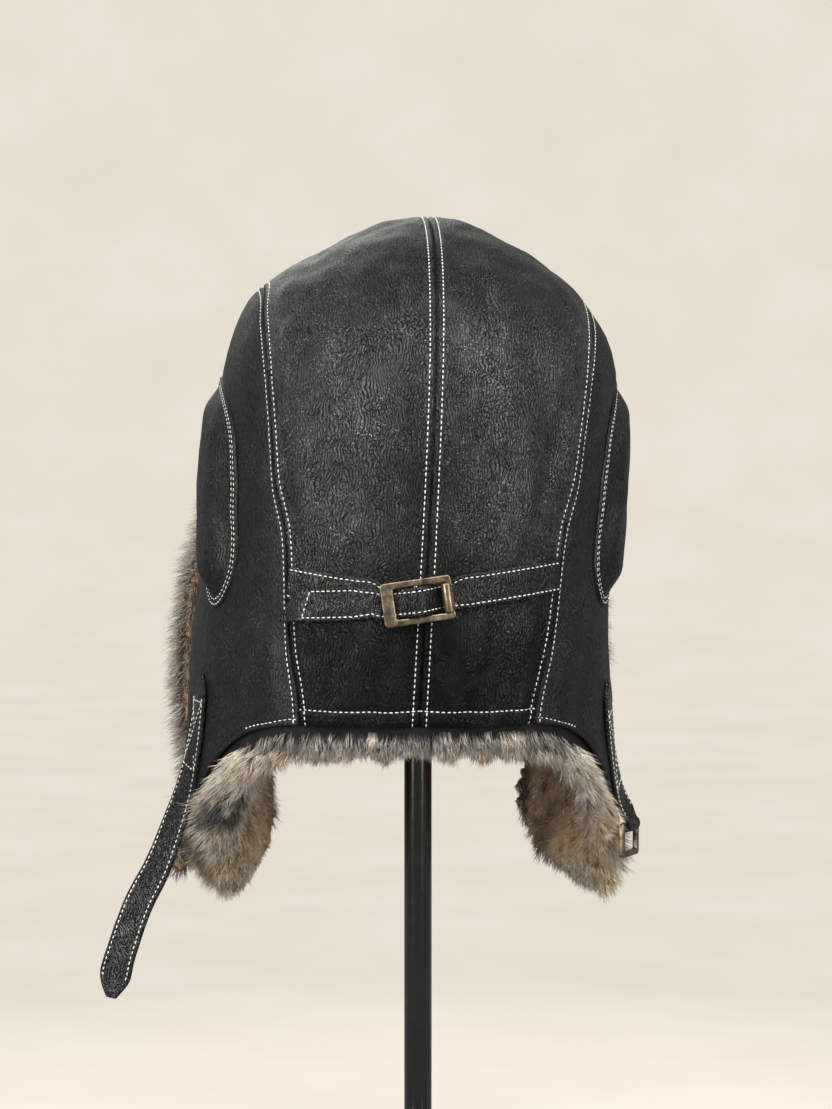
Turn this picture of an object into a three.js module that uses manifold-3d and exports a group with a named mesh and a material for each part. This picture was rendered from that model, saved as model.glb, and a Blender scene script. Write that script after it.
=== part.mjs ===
// An aviator hat of black leather with a deep fur lining, on a plain display stand.
// Millimetres, +Z up. The face looks along -Y and the wearer's left is +X.
// The origin is the centre of the underside of the stand's base.
import * as THREE from "three";
import { mergeVertices } from "three/addons/utils/BufferGeometryUtils.js";
import Module from "manifold-3d";

const wasm = await Module();
wasm.setup();

// Driving sizes of the hat
const hatHalfWidth = 97;
const hatBackReach = 111;
const hatFrontReach = 106;
const hatHeight = 300;
const leatherThickness = 1.6;
const seamGap = 0.35;
const clearance = 0.3;

// Fur
const pileThickness = 9;
const leftFlapPile = 18;
const rightFlapPile = 13;
const flapPileFrom = 0.6;
const flapPileFull = 0.9;
const pileOverhang = 7;
const lockLength = 15;
const lockRadius = 7;
const lockSpacing = 16;
const lockRoot = 0.3;
const lockSwing = 0.16;
const lockSwingTurn = 2.4;
const trimWidth = 22;
const trimThickness = 9;
const trimStep = 17;
const trimFrom = 0.3;
const trimLowest = 1.1;
const trimLean = 0.9;

// Ear patches, straps and buckles
const patchThickness = 8;
const patchFlange = 1.6;
const patchSteps = 30;
const patchSeatScales = [0.3, 0.55, 0.8, 1];
const strapWidth = 15;
const strapThickness = 1.4;
const strapInFrame = 12.6;
const backFrameLength = 31;
const backFrameHeight = 19.2;
const backFrameThickness = 2.5;
const backFrameSideBar = 5.4;
const backFrameEdgeBar = 2.9;
const backFrameTilt = 8;
const centreBarRadius = 1.1;
const chinStrapThickness = 2;
const chinStrapEndWidth = 12;
const chinFrameWidth = 20;
const chinFrameDrop = 16;
const chinFrameBar = 2.8;
const chinFrameThickness = 2.4;
const chinBarRadius = 1.2;
const strapTipWidth = 4;
const frameCorner = 2;
const frameHoleCorner = 1;
const overBarSink = 2.2;
const tailSlant = -4.2;
const wrapStart = -70;
const wrapTurn = -230;
const loopStart = 60;
const loopTurn = -250;

// Stand, and how the hat sits on it: the soft hat leans, its rim further to the left than its crown
const crownTopHeight = 450;
const crownShift = -4.1;
const rimShift = 10.5;
const baseDiameter = 180;
const baseThickness = 8;
const postDiameter = 12.7;
const topDiameter = 88;
const topDepth = 34;

// Fineness of the faceted solids
const ringSteps = 36;
const rowSteps = 14;
const edgeSteps = 44;
const lockSides = 4;
const trimSides = 6;
const barSides = 10;
const baseSides = 40;
const postSides = 20;
const topSides = 28;

// Last rows of the forms, as shares of hatHeight. Each form ends in a row of its own.
const lastSharedRow = 1.08;
const leatherFoot = 1.12;
const leatherHollowFoot = 1.16;
const pileFoot = 1.2;
const pileHollowFoot = 1.24;

// Sections of the leather's outer form. drop is a share of hatHeight below the crown's top, left and
// right of hatHalfWidth to either side of the centre seam, back of hatBackReach and front of
// hatFrontReach. square is the front's squareness.
const sections = [
  { drop: 0, left: 0, right: 0, back: 0, front: 0, square: 2 },
  { drop: 0.0077, left: 0.17, right: 0.15, back: 0.21, front: 0.21, square: 2 },
  { drop: 0.0233, left: 0.3, right: 0.245, back: 0.36, front: 0.36, square: 2 },
  { drop: 0.0453, left: 0.44, right: 0.395, back: 0.5, front: 0.49, square: 2 },
  { drop: 0.0833, left: 0.655, right: 0.59, back: 0.65, front: 0.64, square: 2 },
  { drop: 0.1133, left: 0.785, right: 0.71, back: 0.74, front: 0.735, square: 2 },
  { drop: 0.157, left: 0.856, right: 0.815, back: 0.838, front: 0.83, square: 2 },
  { drop: 0.197, left: 0.897, right: 0.878, back: 0.901, front: 0.887, square: 2.05 },
  { drop: 0.243, left: 0.925, right: 0.912, back: 0.946, front: 0.934, square: 2.15 },
  { drop: 0.333, left: 0.938, right: 0.92, back: 0.991, front: 1.01, square: 2.3 },
  { drop: 0.467, left: 0.957, right: 0.921, back: 1, front: 1.12, square: 2.9 },
  { drop: 0.6, left: 0.993, right: 0.941, back: 0.982, front: 1.21, square: 3.5 },
  { drop: 0.74, left: 1.008, right: 0.965, back: 0.946, front: 1.22, square: 3.5 },
  { drop: 0.883, left: 1.004, right: 1.013, back: 0.9, front: 1.18, square: 2.5 },
  { drop: 1, left: 1.02, right: 1.085, back: 0.865, front: 1.12, square: 2 },
  { drop: 1.3, left: 1.04, right: 1.11, back: 0.84, front: 1.06, square: 2 },
];
const backSquareness = 2.15;

// The leather's edge seen from the side, from the nape along the flap and up to the brow.
// along is a share of hatBackReach behind the ears and of hatFrontReach before them.
const edgeOutline = [
  { along: 1.2, drop: 0.747 },
  { along: 0.946, drop: 0.747 },
  { along: 0.811, drop: 0.75 },
  { along: 0.694, drop: 0.76 },
  { along: 0.577, drop: 0.783 },
  { along: 0.45, drop: 0.82 },
  { along: 0.342, drop: 0.857 },
  { along: 0.234, drop: 0.893 },
  { along: 0.09, drop: 0.94 },
  { along: -0.094, drop: 0.98 },
  { along: -0.34, drop: 1.003 },
  { along: -0.547, drop: 0.983 },
  { along: -0.698, drop: 0.927 },
  { along: -0.774, drop: 0.84 },
  { along: -0.792, drop: 0.75 },
  { along: -0.774, drop: 0.633 },
  { along: -0.755, drop: 0.5 },
  { along: -0.76, drop: 0.4 },
  { along: -0.811, drop: 0.333 },
  { along: -0.915, drop: 0.305 },
  { along: -1.02, drop: 0.3 },
  { along: -1.3, drop: 0.3 },
];

// The side seams seen from behind. side is a share of hatHalfWidth.
const seamLine = [
  { drop: -0.1, side: 0.76 },
  { drop: 0.11, side: 0.76 },
  { drop: 0.153, side: 0.766 },
  { drop: 0.24, side: 0.742 },
  { drop: 0.327, side: 0.714 },
  { drop: 0.4, side: 0.689 },
  { drop: 0.467, side: 0.638 },
  { drop: 0.63, side: 0.595 },
  { drop: 0.72, side: 0.543 },
  { drop: 0.8, side: 0.525 },
  { drop: 1.3, side: 0.5 },
];

// The ear patch seen from the side, from its pointed top round by the back.
const patchOutline = [
  { along: 0.02, drop: 0.243 },
  { along: 0.243, drop: 0.27 },
  { along: 0.405, drop: 0.32 },
  { along: 0.486, drop: 0.393 },
  { along: 0.51, drop: 0.443 },
  { along: 0.545, drop: 0.497 },
  { along: 0.54, drop: 0.543 },
  { along: 0.47, drop: 0.582 },
  { along: 0.38, drop: 0.587 },
  { along: 0.27, drop: 0.56 },
  { along: 0.1, drop: 0.515 },
  { along: -0.04, drop: 0.46 },
  { along: -0.12, drop: 0.393 },
  { along: -0.12, drop: 0.327 },
  { along: -0.06, drop: 0.275 },
];
const patchCentre = { along: 0.22, drop: 0.43 };

// Rings of the patch. scale is about its centre, rise a share of patchThickness over the flange.
const patchRings = [
  { scale: 1, rise: 0 },
  { scale: 0.86, rise: 0 },
  { scale: 0.82, rise: 0.35 },
  { scale: 0.68, rise: 0.78 },
  { scale: 0.36, rise: 1 },
];

// Rows of fur locks. setback is a share of lockLength inside the pile's rim, depth a share of
// the pile's thickness from the leather, dip how far the lock leans towards the head, and apart
// the spacing as a share of lockSpacing.
const lockRows = [
  { setback: 0.05, depth: 0.5, dip: 0.1, apart: 1 },
  { setback: 0.9, depth: 0.86, dip: 0.45, apart: 1.5 },
];

// Derived values
const strapOnPanel = clearance;
const strapOnBase = 2 * clearance + strapThickness;
const frameLift = strapOnBase + strapThickness + clearance;
const barLift = frameLift + backFrameThickness / 2;
const wrapRadius = centreBarRadius + clearance + strapThickness / 2;
const overWrap = barLift + wrapRadius + strapThickness / 2 + clearance;
const innerInset = leatherThickness + clearance;

// A flat band on the round hat rests on its middle, so it is raised by this much more.
const bandRest = 0.25;

// A smooth value of one table column at a given drop share, through the square root of the drop so
// that the crown's rounded top comes out even.
function column(table, key, drop) {
  const place = (row) => Math.sqrt(Math.max(row.drop, 0));
  const at = Math.sqrt(Math.max(drop, 0));
  let i = 0;
  while (i < table.length - 2 && place(table[i + 1]) < at) i += 1;
  const slope = (k) => {
    const low = table[Math.max(k - 1, 0)];
    const high = table[Math.min(k + 1, table.length - 1)];
    return (high[key] - low[key]) / (place(high) - place(low));
  };
  const width = place(table[i + 1]) - place(table[i]);
  const t = THREE.MathUtils.clamp((at - place(table[i])) / width, 0, 1);
  const t2 = t * t;
  const t3 = t2 * t;
  return (
    (2 * t3 - 3 * t2 + 1) * table[i][key] +
    (t3 - 2 * t2 + t) * width * slope(i) +
    (3 * t2 - 2 * t3) * table[i + 1][key] +
    (t3 - t2) * width * slope(i + 1)
  );
}

// How far the leaning hat's middle lies to the side at one depth below the crown.
const middleAt = (depth) => THREE.MathUtils.lerp(crownShift, rimShift, depth / hatHeight);

// Half-width, reach and squareness of the leather's outer form at one depth below the crown.
function sectionAt(depth, behind, left) {
  const drop = depth / hatHeight;
  const reach = behind
    ? column(sections, "back", drop) * hatBackReach
    : column(sections, "front", drop) * hatFrontReach;
  return {
    half: column(sections, left ? "left" : "right", drop) * hatHalfWidth,
    reach,
    power: behind ? backSquareness : column(sections, "square", drop),
  };
}

function outside(x, y, depth) {
  const off = x - middleAt(depth);
  const { half, reach, power } = sectionAt(depth, y > 0, off > 0);
  return Math.pow(Math.abs(off) / half, power) + Math.pow(Math.abs(y) / reach, power);
}

// The outward normal of the leather's outer form, from small differences.
function normalAt(x, y, depth) {
  const d = 0.05;
  const below = depth + d;
  const above = Math.max(depth - d, d);
  return new THREE.Vector3(
    (outside(x + d, y, depth) - outside(x - d, y, depth)) / (2 * d),
    (outside(x, y + d, depth) - outside(x, y - d, depth)) / (2 * d),
    (outside(x, y, above) - outside(x, y, below)) / (below - above),
  ).normalize();
}

// A point of the skin at a side-view place, on the left for side 1 and on the right for side -1.
function skinFromSide(y, depth, side) {
  const { half, reach, power } = sectionAt(depth, y > 0, side > 0);
  const share = Math.min(Math.abs(y) / reach, 1);
  const x = middleAt(depth) + side * half * Math.pow(1 - Math.pow(share, power), 1 / power);
  return { point: new THREE.Vector3(x, y, -depth), normal: normalAt(x, y, depth) };
}

// A point of the skin at a back-view place, its distance from the hat's middle and its depth.
function skinFromBack(off, depth) {
  const { half, reach, power } = sectionAt(depth, true, off > 0);
  const y = reach * Math.pow(1 - Math.pow(Math.abs(off) / half, power), 1 / power);
  const x = middleAt(depth) + off;
  return { point: new THREE.Vector3(x, y, -depth), normal: normalAt(x, y, depth) };
}

const lift = ({ point, normal }, distance) => point.clone().addScaledVector(normal, distance);
const alongY = (share) => share * (share > 0 ? hatBackReach : hatFrontReach);

// Solids of manifold-3d from closed three.js geometry, and back
function solid(geometry) {
  const bare = geometry.clone();
  bare.deleteAttribute("normal");
  bare.deleteAttribute("uv");
  const merged = mergeVertices(bare, 1e-4);
  return new wasm.Manifold(
    new wasm.Mesh({
      numProp: 3,
      vertProperties: merged.attributes.position.array,
      triVerts: new Uint32Array(merged.index.array),
    }),
  );
}

function geometryOf(body) {
  const { numProp, vertProperties, triVerts, numVert } = body.getMesh();
  const points = new Float32Array(numVert * 3);
  for (let i = 0; i < numVert; i += 1) {
    points.set(vertProperties.subarray(i * numProp, i * numProp + 3), i * 3);
  }
  const geometry = new THREE.BufferGeometry();
  geometry.setAttribute("position", new THREE.BufferAttribute(points, 3));
  geometry.setIndex(new THREE.BufferAttribute(new Uint32Array(triVerts), 1));
  geometry.computeVertexNormals();
  return geometry;
}

// A closed geometry through rings of points, each ring the same length, with a centre point at each
// end. A ring turns anticlockwise seen from its end towards its start.
function ringLoft(rings, startCentre, endCentre) {
  const count = rings[0].length;
  const points = [startCentre, ...rings.flat(), endCentre];
  const faces = [];
  const at = (ring, k) => 1 + ring * count + (k % count);
  for (let k = 0; k < count; k += 1) {
    faces.push(0, at(0, k + 1), at(0, k));
    for (let r = 0; r < rings.length - 1; r += 1) {
      faces.push(at(r, k), at(r, k + 1), at(r + 1, k + 1));
      faces.push(at(r, k), at(r + 1, k + 1), at(r + 1, k));
    }
    faces.push(points.length - 1, at(rings.length - 1, k), at(rings.length - 1, k + 1));
  }
  const geometry = new THREE.BufferGeometry().setFromPoints(points);
  geometry.setIndex(faces);
  return geometry;
}

const middle = (ring) =>
  ring.reduce((sum, p) => sum.add(p), new THREE.Vector3()).divideScalar(ring.length);

// The solid through rings, whichever way they turn
function loft(rings, startCentre = middle(rings[0]), endCentre = middle(rings[rings.length - 1])) {
  const body = solid(ringLoft(rings, startCentre, endCentre));
  if (body.volume() > 0) return body;
  return solid(ringLoft(rings.map((ring) => [...ring].reverse()), startCentre, endCentre));
}

// The hat's form set in from the leather's outer face by a distance that depends on the depth and on
// how far to the left the place is, from -1 to 1. All forms share their rows, down to a last row of
// their own below the flaps.
function form(insetAt, lowest) {
  const rings = [];
  for (let r = 1; r <= rowSteps + 1; r += 1) {
    const share = r > rowSteps ? lowest : lastSharedRow * Math.pow(r / rowSteps, 2);
    const depth = hatHeight * share;
    const ring = [];
    for (let k = 0; k < ringSteps; k += 1) {
      const angle = (2 * Math.PI * k) / ringSteps;
      const { half, reach, power } = sectionAt(depth, Math.cos(angle) > 0, Math.sin(angle) > 0);
      const bend = 2 / power;
      const off = half * Math.sign(Math.sin(angle)) * Math.pow(Math.abs(Math.sin(angle)), bend);
      const x = middleAt(depth) + off;
      const y = reach * Math.sign(Math.cos(angle)) * Math.pow(Math.abs(Math.cos(angle)), bend);
      const skin = { point: new THREE.Vector3(x, y, -depth), normal: normalAt(x, y, depth) };
      ring.push(lift(skin, -insetAt(depth, off / half)));
    }
    rings.push(ring);
  }
  const top = new THREE.Vector3(crownShift, 0, -insetAt(0, 0));
  return loft(rings, top);
}

// A prism with a side-view or back-view outline, across the whole hat.
function prism(outline, across) {
  const shape = new THREE.Shape(outline);
  const length = 4 * hatHalfWidth;
  const geometry = new THREE.ExtrudeGeometry(shape, { depth: length, bevelEnabled: false });
  geometry.translate(0, 0, -length / 2);
  if (across === "x") {
    geometry.applyMatrix4(new THREE.Matrix4().set(0, 0, 1, 0, 1, 0, 0, 0, 0, 1, 0, 0, 0, 0, 0, 1));
  } else {
    geometry.applyMatrix4(new THREE.Matrix4().set(1, 0, 0, 0, 0, 0, -1, 0, 0, 1, 0, 0, 0, 0, 0, 1));
  }
  return solid(geometry);
}

// The leather's edge in the side view, moved outwards by a distance.
const edgeCurve = new THREE.SplineCurve(
  edgeOutline.map(({ along, drop }) => new THREE.Vector2(alongY(along), -drop * hatHeight)),
);

function edgePoints(outwards, count) {
  return edgeCurve.getSpacedPoints(count).map((p, i) => {
    const t = edgeCurve.getTangentAt(i / count);
    return new THREE.Vector2(p.x - t.y * outwards, p.y + t.x * outwards);
  });
}

function sideKeep(outwards) {
  const above = 0.1 * hatHeight;
  const edge = edgePoints(outwards, edgeSteps);
  const front = edge[edge.length - 1];
  return prism(
    [...edge.reverse(), new THREE.Vector2(edge[edge.length - 1].x, above), new THREE.Vector2(front.x, above)],
    "x",
  );
}

// The stretch between two seams seen from behind, each given by its distance from the hat's middle.
function betweenLines(leftOff, rightOff) {
  const line = (offAt) =>
    seamLine.map(({ drop, side }) => {
      const depth = drop * hatHeight;
      return new THREE.Vector2(middleAt(depth) + offAt(side * hatHalfWidth), -depth);
    });
  return prism([...line(leftOff), ...line(rightOff).reverse()], "y");
}

const betweenSeams = (grow) => betweenLines((off) => off + grow, (off) => -off - grow);
const far = 3 * hatHalfWidth;
const leftHalf = betweenLines(() => far, () => seamGap / 2);
const rightHalf = betweenLines(() => -seamGap / 2, () => -far);

// Places along the hat's edge on the skin, a spacing apart, for an outline moved by a distance.
function edgeWalk(outwards, spacing, side, keep = () => true) {
  const fine = edgePoints(outwards, 900)
    .filter((p) => Math.abs(p.x) < sectionAt(-p.y, p.x > 0, side > 0).reach)
    .map((p) => ({ ...skinFromSide(p.x, -p.y, side), y: p.x, depth: -p.y }));
  const places = [];
  let walked = spacing;
  for (let i = 1; i < fine.length; i += 1) {
    const step = fine[i].point.clone().sub(fine[i - 1].point);
    walked += step.length();
    if (walked < spacing || !keep(fine[i])) continue;
    const along = step.normalize();
    const away = new THREE.Vector3().crossVectors(fine[i].normal, along).multiplyScalar(side).normalize();
    places.push({ ...fine[i], along, away });
    walked = 0;
  }
  return places;
}

// Leather panels
const leatherShell = form(() => 0, leatherFoot)
  .subtract(form(() => leatherThickness, leatherHollowFoot))
  .intersect(sideKeep(0));
const middleShell = leatherShell.intersect(betweenSeams(-seamGap / 2));
const sideShell = leatherShell.subtract(betweenSeams(seamGap / 2));

// Fur lining, thicker in the flaps, with locks fused round its rim
function pileAt(depth, leftward) {
  const share = THREE.MathUtils.smoothstep(depth, flapPileFrom * hatHeight, flapPileFull * hatHeight);
  const inFlap = THREE.MathUtils.lerp(rightFlapPile, leftFlapPile, (1 + leftward) / 2);
  return THREE.MathUtils.lerp(pileThickness, inFlap, share);
}

function lock(base, direction, length, radius) {
  const cone = new THREE.ConeGeometry(radius, length, lockSides, 1);
  cone.translate(0, length * lockRoot, 0);
  cone.applyQuaternion(new THREE.Quaternion().setFromUnitVectors(new THREE.Vector3(0, 1, 0), direction));
  cone.translate(base.x, base.y, base.z);
  return solid(cone);
}

function makeLining() {
  const shell = form(() => innerInset, pileFoot)
    .subtract(form((depth, leftward) => innerInset + pileAt(depth, leftward), pileHollowFoot))
    .intersect(sideKeep(pileOverhang));
  const locks = [];
  for (const side of [1, -1]) {
    for (const { setback, depth, dip, apart } of lockRows) {
      edgeWalk(pileOverhang - setback * lockLength, apart * lockSpacing, side).forEach((place, i) => {
        const wave = Math.sin(i * lockSwingTurn) * lockSwing;
        const base = lift(place, -innerInset - depth * pileAt(place.depth, side));
        const direction = place.away
          .clone()
          .addScaledVector(place.normal, -dip)
          .addScaledVector(place.along, wave)
          .normalize();
        locks.push(lock(base, direction, lockLength, lockRadius));
      });
    }
  }
  const guard = form(() => innerInset, pileHollowFoot);
  return shell.add(wasm.Manifold.union(locks).intersect(guard));
}

// Fur roll on the leather along the face opening, an oval swept along the edge
function makeTrim() {
  const inFront = ({ y, depth }) => y < -trimFrom * hatFrontReach && depth < trimLowest * hatHeight;
  const left = edgeWalk(-trimWidth / 2 + pileOverhang, trimStep, 1, inFront);
  const right = edgeWalk(-trimWidth / 2 + pileOverhang, trimStep, -1, inFront);
  const places = [...left, ...right.reverse()];
  const locks = [];
  const rings = places.map((place, i) => {
    const along = places[Math.min(i + 1, places.length - 1)].point
      .clone()
      .sub(places[Math.max(i - 1, 0)].point)
      .normalize();
    const across = new THREE.Vector3().crossVectors(place.normal, along).normalize();
    const centre = lift(place, clearance + trimThickness / 2);
    if (i % 2 === 1) {
      const direction = place.away.clone().addScaledVector(place.normal, trimLean).normalize();
      locks.push(lock(centre, direction, lockLength, lockRadius));
    }
    return Array.from({ length: trimSides }, (_, k) => {
      const angle = (2 * Math.PI * k) / trimSides;
      return centre
        .clone()
        .addScaledVector(across, (Math.cos(angle) * trimWidth) / 2)
        .addScaledVector(place.normal, (Math.sin(angle) * trimThickness) / 2);
    });
  });
  return loft(rings).add(wasm.Manifold.union(locks)).subtract(form(() => -clearance, pileHollowFoot));
}

// A padded patch over the ear: flange, dome and a back that follows the panel
function makePatch(side) {
  const outline = new THREE.CatmullRomCurve3(
    patchOutline.map(({ along, drop }) => new THREE.Vector3(alongY(along), -drop * hatHeight, 0)),
    true,
    "catmullrom",
    0.5,
  ).getSpacedPoints(patchSteps).slice(0, patchSteps);
  const centre = new THREE.Vector3(alongY(patchCentre.along), -patchCentre.drop * hatHeight, 0);
  const ringAt = (scale, height) =>
    outline.map((p) => {
      const q = centre.clone().lerp(p, scale);
      return lift(skinFromSide(q.x, -q.y, side), height);
    });
  const front = patchRings.map(({ scale, rise }) =>
    ringAt(scale, clearance + patchFlange + rise * (patchThickness - patchFlange)),
  );
  const rear = patchSeatScales.map((scale) => ringAt(scale, clearance));
  const seat = skinFromSide(centre.x, -centre.y, side);
  return loft([...rear, ...front], lift(seat, clearance), lift(seat, clearance + patchThickness));
}

// A strap as a flat band through centres, each with the way its face looks, its width and how far
// its upper edge runs ahead of its lower one.
function makeBand(stations, thickness) {
  const rings = stations.map(({ centre, face, width, slant = 0 }, i) => {
    const along = stations[Math.min(i + 1, stations.length - 1)].centre
      .clone()
      .sub(stations[Math.max(i - 1, 0)].centre)
      .normalize();
    const up = new THREE.Vector3().crossVectors(along, face).normalize();
    const out = new THREE.Vector3().crossVectors(up, along).normalize();
    const corner = (u, o) =>
      centre
        .clone()
        .addScaledVector(up, (u * width) / 2)
        .addScaledVector(along, u * slant)
        .addScaledVector(out, (o * thickness) / 2);
    return [corner(-1, -1), corner(-1, 1), corner(1, 1), corner(1, -1)];
  });
  return loft(rings);
}

// The back buckle's place: its frame lies on the back, turned a little
const frameCentreSide = 0.04;
const frameCentreDrop = 0.564;
const frameSeat = skinFromBack(frameCentreSide * hatHalfWidth, frameCentreDrop * hatHeight);
const frameOut = frameSeat.normal.clone().setZ(0).normalize();
const frameAlong = new THREE.Vector3().crossVectors(frameOut, new THREE.Vector3(0, 0, 1));
frameAlong.applyAxisAngle(frameOut, THREE.MathUtils.degToRad(backFrameTilt));
const frameUp = new THREE.Vector3().crossVectors(frameAlong, frameOut);

// A place by its distance along the strap from the frame's centre and its height over the panel
function inFrame(along, height) {
  return lift(frameSeat, 0)
    .addScaledVector(frameAlong, along)
    .addScaledVector(frameOut, height);
}

// Stations of a band that lies on the back at one height over the panel, evenly between its rows
function onBack(rows, height) {
  const steps = 4;
  const stations = [];
  for (let i = 0; i < (rows.length - 1) * steps + 1; i += 1) {
    const row = Math.min(Math.floor(i / steps), rows.length - 2);
    const share = i / steps - row;
    const mix = (key) => THREE.MathUtils.lerp(rows[row][key], rows[row + 1][key], share);
    const skin = skinFromBack(mix("side") * hatHalfWidth, mix("drop") * hatHeight);
    stations.push({
      centre: lift(skin, height + strapThickness / 2),
      face: skin.normal,
      width: mix("width"),
      slant: mix("slant"),
    });
  }
  return stations;
}

// A place along the strap at a height over the panel, which curves away under the flat frame
function overPanel(along, height) {
  const off = frameCentreSide * hatHalfWidth + along;
  const under = skinFromBack(off, frameCentreDrop * hatHeight).point;
  const fall = under.sub(frameSeat.point).dot(frameOut);
  return inFrame(along, fall + height + strapThickness / 2);
}

const inFrameStation = (centre) => ({ centre, face: frameOut, width: strapInFrame });
const halfFrame = backFrameLength / 2;

// The strap from the left seam, whose end wraps the frame's centre bar
const leftBackPath = [
  { side: 0.6, drop: 0.541, width: strapWidth, slant: 0 },
  { side: 0.42, drop: 0.55, width: strapWidth, slant: 0 },
  { side: 0.25, drop: 0.557, width: strapWidth, slant: 0 },
];

function makeLeftBackStrap() {
  const stations = onBack(leftBackPath, strapOnPanel + bandRest);
  for (const along of [0.95, 0.6]) {
    stations.push(inFrameStation(overPanel(along * halfFrame, strapOnPanel + bandRest)));
  }
  const wrapSteps = 7;
  for (let i = 0; i <= wrapSteps; i += 1) {
    const angle = THREE.MathUtils.degToRad(wrapStart + (wrapTurn * i) / wrapSteps);
    const radial = new THREE.Vector3()
      .addScaledVector(frameAlong, Math.cos(angle))
      .addScaledVector(frameOut, Math.sin(angle));
    stations.push({
      centre: inFrame(0, barLift).addScaledVector(radial, wrapRadius),
      face: radial.clone().negate(),
      width: strapInFrame,
    });
  }
  return makeBand(stations, strapThickness);
}

// The strap from the right seam, over the centre bar and on as the tail
const rightBackPath = [
  { side: -0.6, drop: 0.533, width: strapWidth, slant: 0 },
  { side: -0.4, drop: 0.541, width: strapWidth, slant: 0 },
  { side: -0.17, drop: 0.551, width: strapWidth, slant: 0 },
];
const overBar = [
  { along: -0.27, sink: overBarSink },
  { along: -0.11, sink: 0 },
  { along: 0.11, sink: 0 },
  { along: 0.27, sink: overBarSink },
];
const tailPath = [
  { side: 0.23, drop: 0.567, width: strapInFrame, slant: 0 },
  { side: 0.32, drop: 0.568, width: strapWidth, slant: 0 },
  { side: 0.59, drop: 0.573, width: strapWidth, slant: tailSlant },
];

function makeRightBackStrap() {
  const overBase = strapOnBase + 2 * bandRest;
  const stations = [
    ...onBack(rightBackPath, strapOnPanel + bandRest),
    ...[-0.95, -0.6].map((along) => inFrameStation(overPanel(along * halfFrame, strapOnPanel + bandRest))),
    ...overBar.map(({ along, sink }) =>
      inFrameStation(inFrame(along * halfFrame, overWrap - sink + strapThickness / 2)),
    ),
    ...[0.62, 0.98].map((along) => inFrameStation(overPanel(along * halfFrame, overBase))),
    ...onBack(tailPath, overBase),
  ];
  return makeBand(stations, strapThickness);
}

// A flat rectangular frame with rounded corners, in its own plane
function frameBody(width, height, thickness, sideBar, edgeBar) {
  const rounded = (w, h, r) => {
    const path = new THREE.Path();
    path.moveTo(w / 2 - r, -h / 2);
    path.absarc(w / 2 - r, -h / 2 + r, r, -Math.PI / 2, 0);
    path.absarc(w / 2 - r, h / 2 - r, r, 0, Math.PI / 2);
    path.absarc(-w / 2 + r, h / 2 - r, r, Math.PI / 2, Math.PI);
    path.absarc(-w / 2 + r, -h / 2 + r, r, Math.PI, 1.5 * Math.PI);
    return path.getPoints(3);
  };
  const shape = new THREE.Shape(rounded(width, height, frameCorner));
  const hole = rounded(width - 2 * sideBar, height - 2 * edgeBar, frameHoleCorner);
  shape.holes.push(new THREE.Path(hole));
  const geometry = new THREE.ExtrudeGeometry(shape, { depth: thickness, bevelEnabled: false });
  geometry.translate(0, 0, -thickness / 2);
  return geometry;
}

function makeBackBuckle() {
  const frame = frameBody(
    backFrameLength, backFrameHeight, backFrameThickness, backFrameSideBar, backFrameEdgeBar);
  const bar = new THREE.CylinderGeometry(
    centreBarRadius, centreBarRadius, backFrameHeight - backFrameEdgeBar, barSides);
  const place = new THREE.Matrix4().makeBasis(frameAlong, frameUp, frameOut.clone().negate());
  place.setPosition(inFrame(0, barLift));
  return solid(frame.applyMatrix4(place)).add(solid(bar.applyMatrix4(place)));
}

// Chin straps: along is the side-view place, drop the depth, away the distance off the skin and
// twist the degrees that the band has turned towards the back.
const leftStrapPath = [
  { along: 0.335, drop: 0.688, away: 0, twist: 0, width: strapTipWidth },
  { along: 0.33, drop: 0.712, away: 0, twist: 0, width: strapWidth },
  { along: 0.325, drop: 0.75, away: 0, twist: 0, width: strapWidth },
  { along: 0.3, drop: 0.8, away: 1, twist: 6, width: strapWidth },
  { along: 0.26, drop: 0.86, away: 3, twist: 16, width: strapWidth },
  { along: 0.22, drop: 0.92, away: 6.5, twist: 30, width: strapWidth },
  { along: 0.2, drop: 0.985, away: 11.5, twist: 40, width: strapWidth },
  { along: 0.18, drop: 1.047, away: 19, twist: 48, width: strapWidth },
  { along: 0.17, drop: 1.12, away: 25, twist: 54, width: strapWidth },
  { along: 0.16, drop: 1.16, away: 27, twist: 56, width: strapWidth },
  { along: 0.158, drop: 1.19, away: 28, twist: 56, width: strapTipWidth },
];
const rightStrapPath = [
  { along: 0.335, drop: 0.7, away: 0, twist: 0, width: strapTipWidth },
  { along: 0.33, drop: 0.725, away: 0, twist: 0, width: strapWidth },
  { along: 0.3, drop: 0.78, away: 0, twist: 0, width: strapWidth },
  { along: 0.25, drop: 0.84, away: 0.6, twist: 3, width: strapWidth },
  { along: 0.2, drop: 0.885, away: 2, twist: 10, width: strapWidth },
  { along: 0.17, drop: 0.915, away: 4.6, twist: 20, width: chinStrapEndWidth },
];

function chinStations(path, side) {
  return path.map(({ along, drop, away, twist, width }) => {
    const skin = skinFromSide(alongY(along), drop * hatHeight, side);
    const turn = side * THREE.MathUtils.degToRad(twist);
    return {
      centre: lift(skin, clearance + bandRest + chinStrapThickness / 2 + away),
      face: skin.normal.clone().applyAxisAngle(new THREE.Vector3(0, 0, 1), turn),
      width,
    };
  });
}

const rightStations = chinStations(rightStrapPath, -1);
const strapEnd = rightStations[rightStations.length - 1];
const chinBarWay = new THREE.Vector3(strapEnd.face.y, -strapEnd.face.x, 0).normalize();
const loopRadius = chinBarRadius + clearance + chinStrapThickness / 2;
const chinBarCentre = strapEnd.centre.clone().add(new THREE.Vector3(0, 0, -loopRadius - chinStrapThickness));

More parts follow.
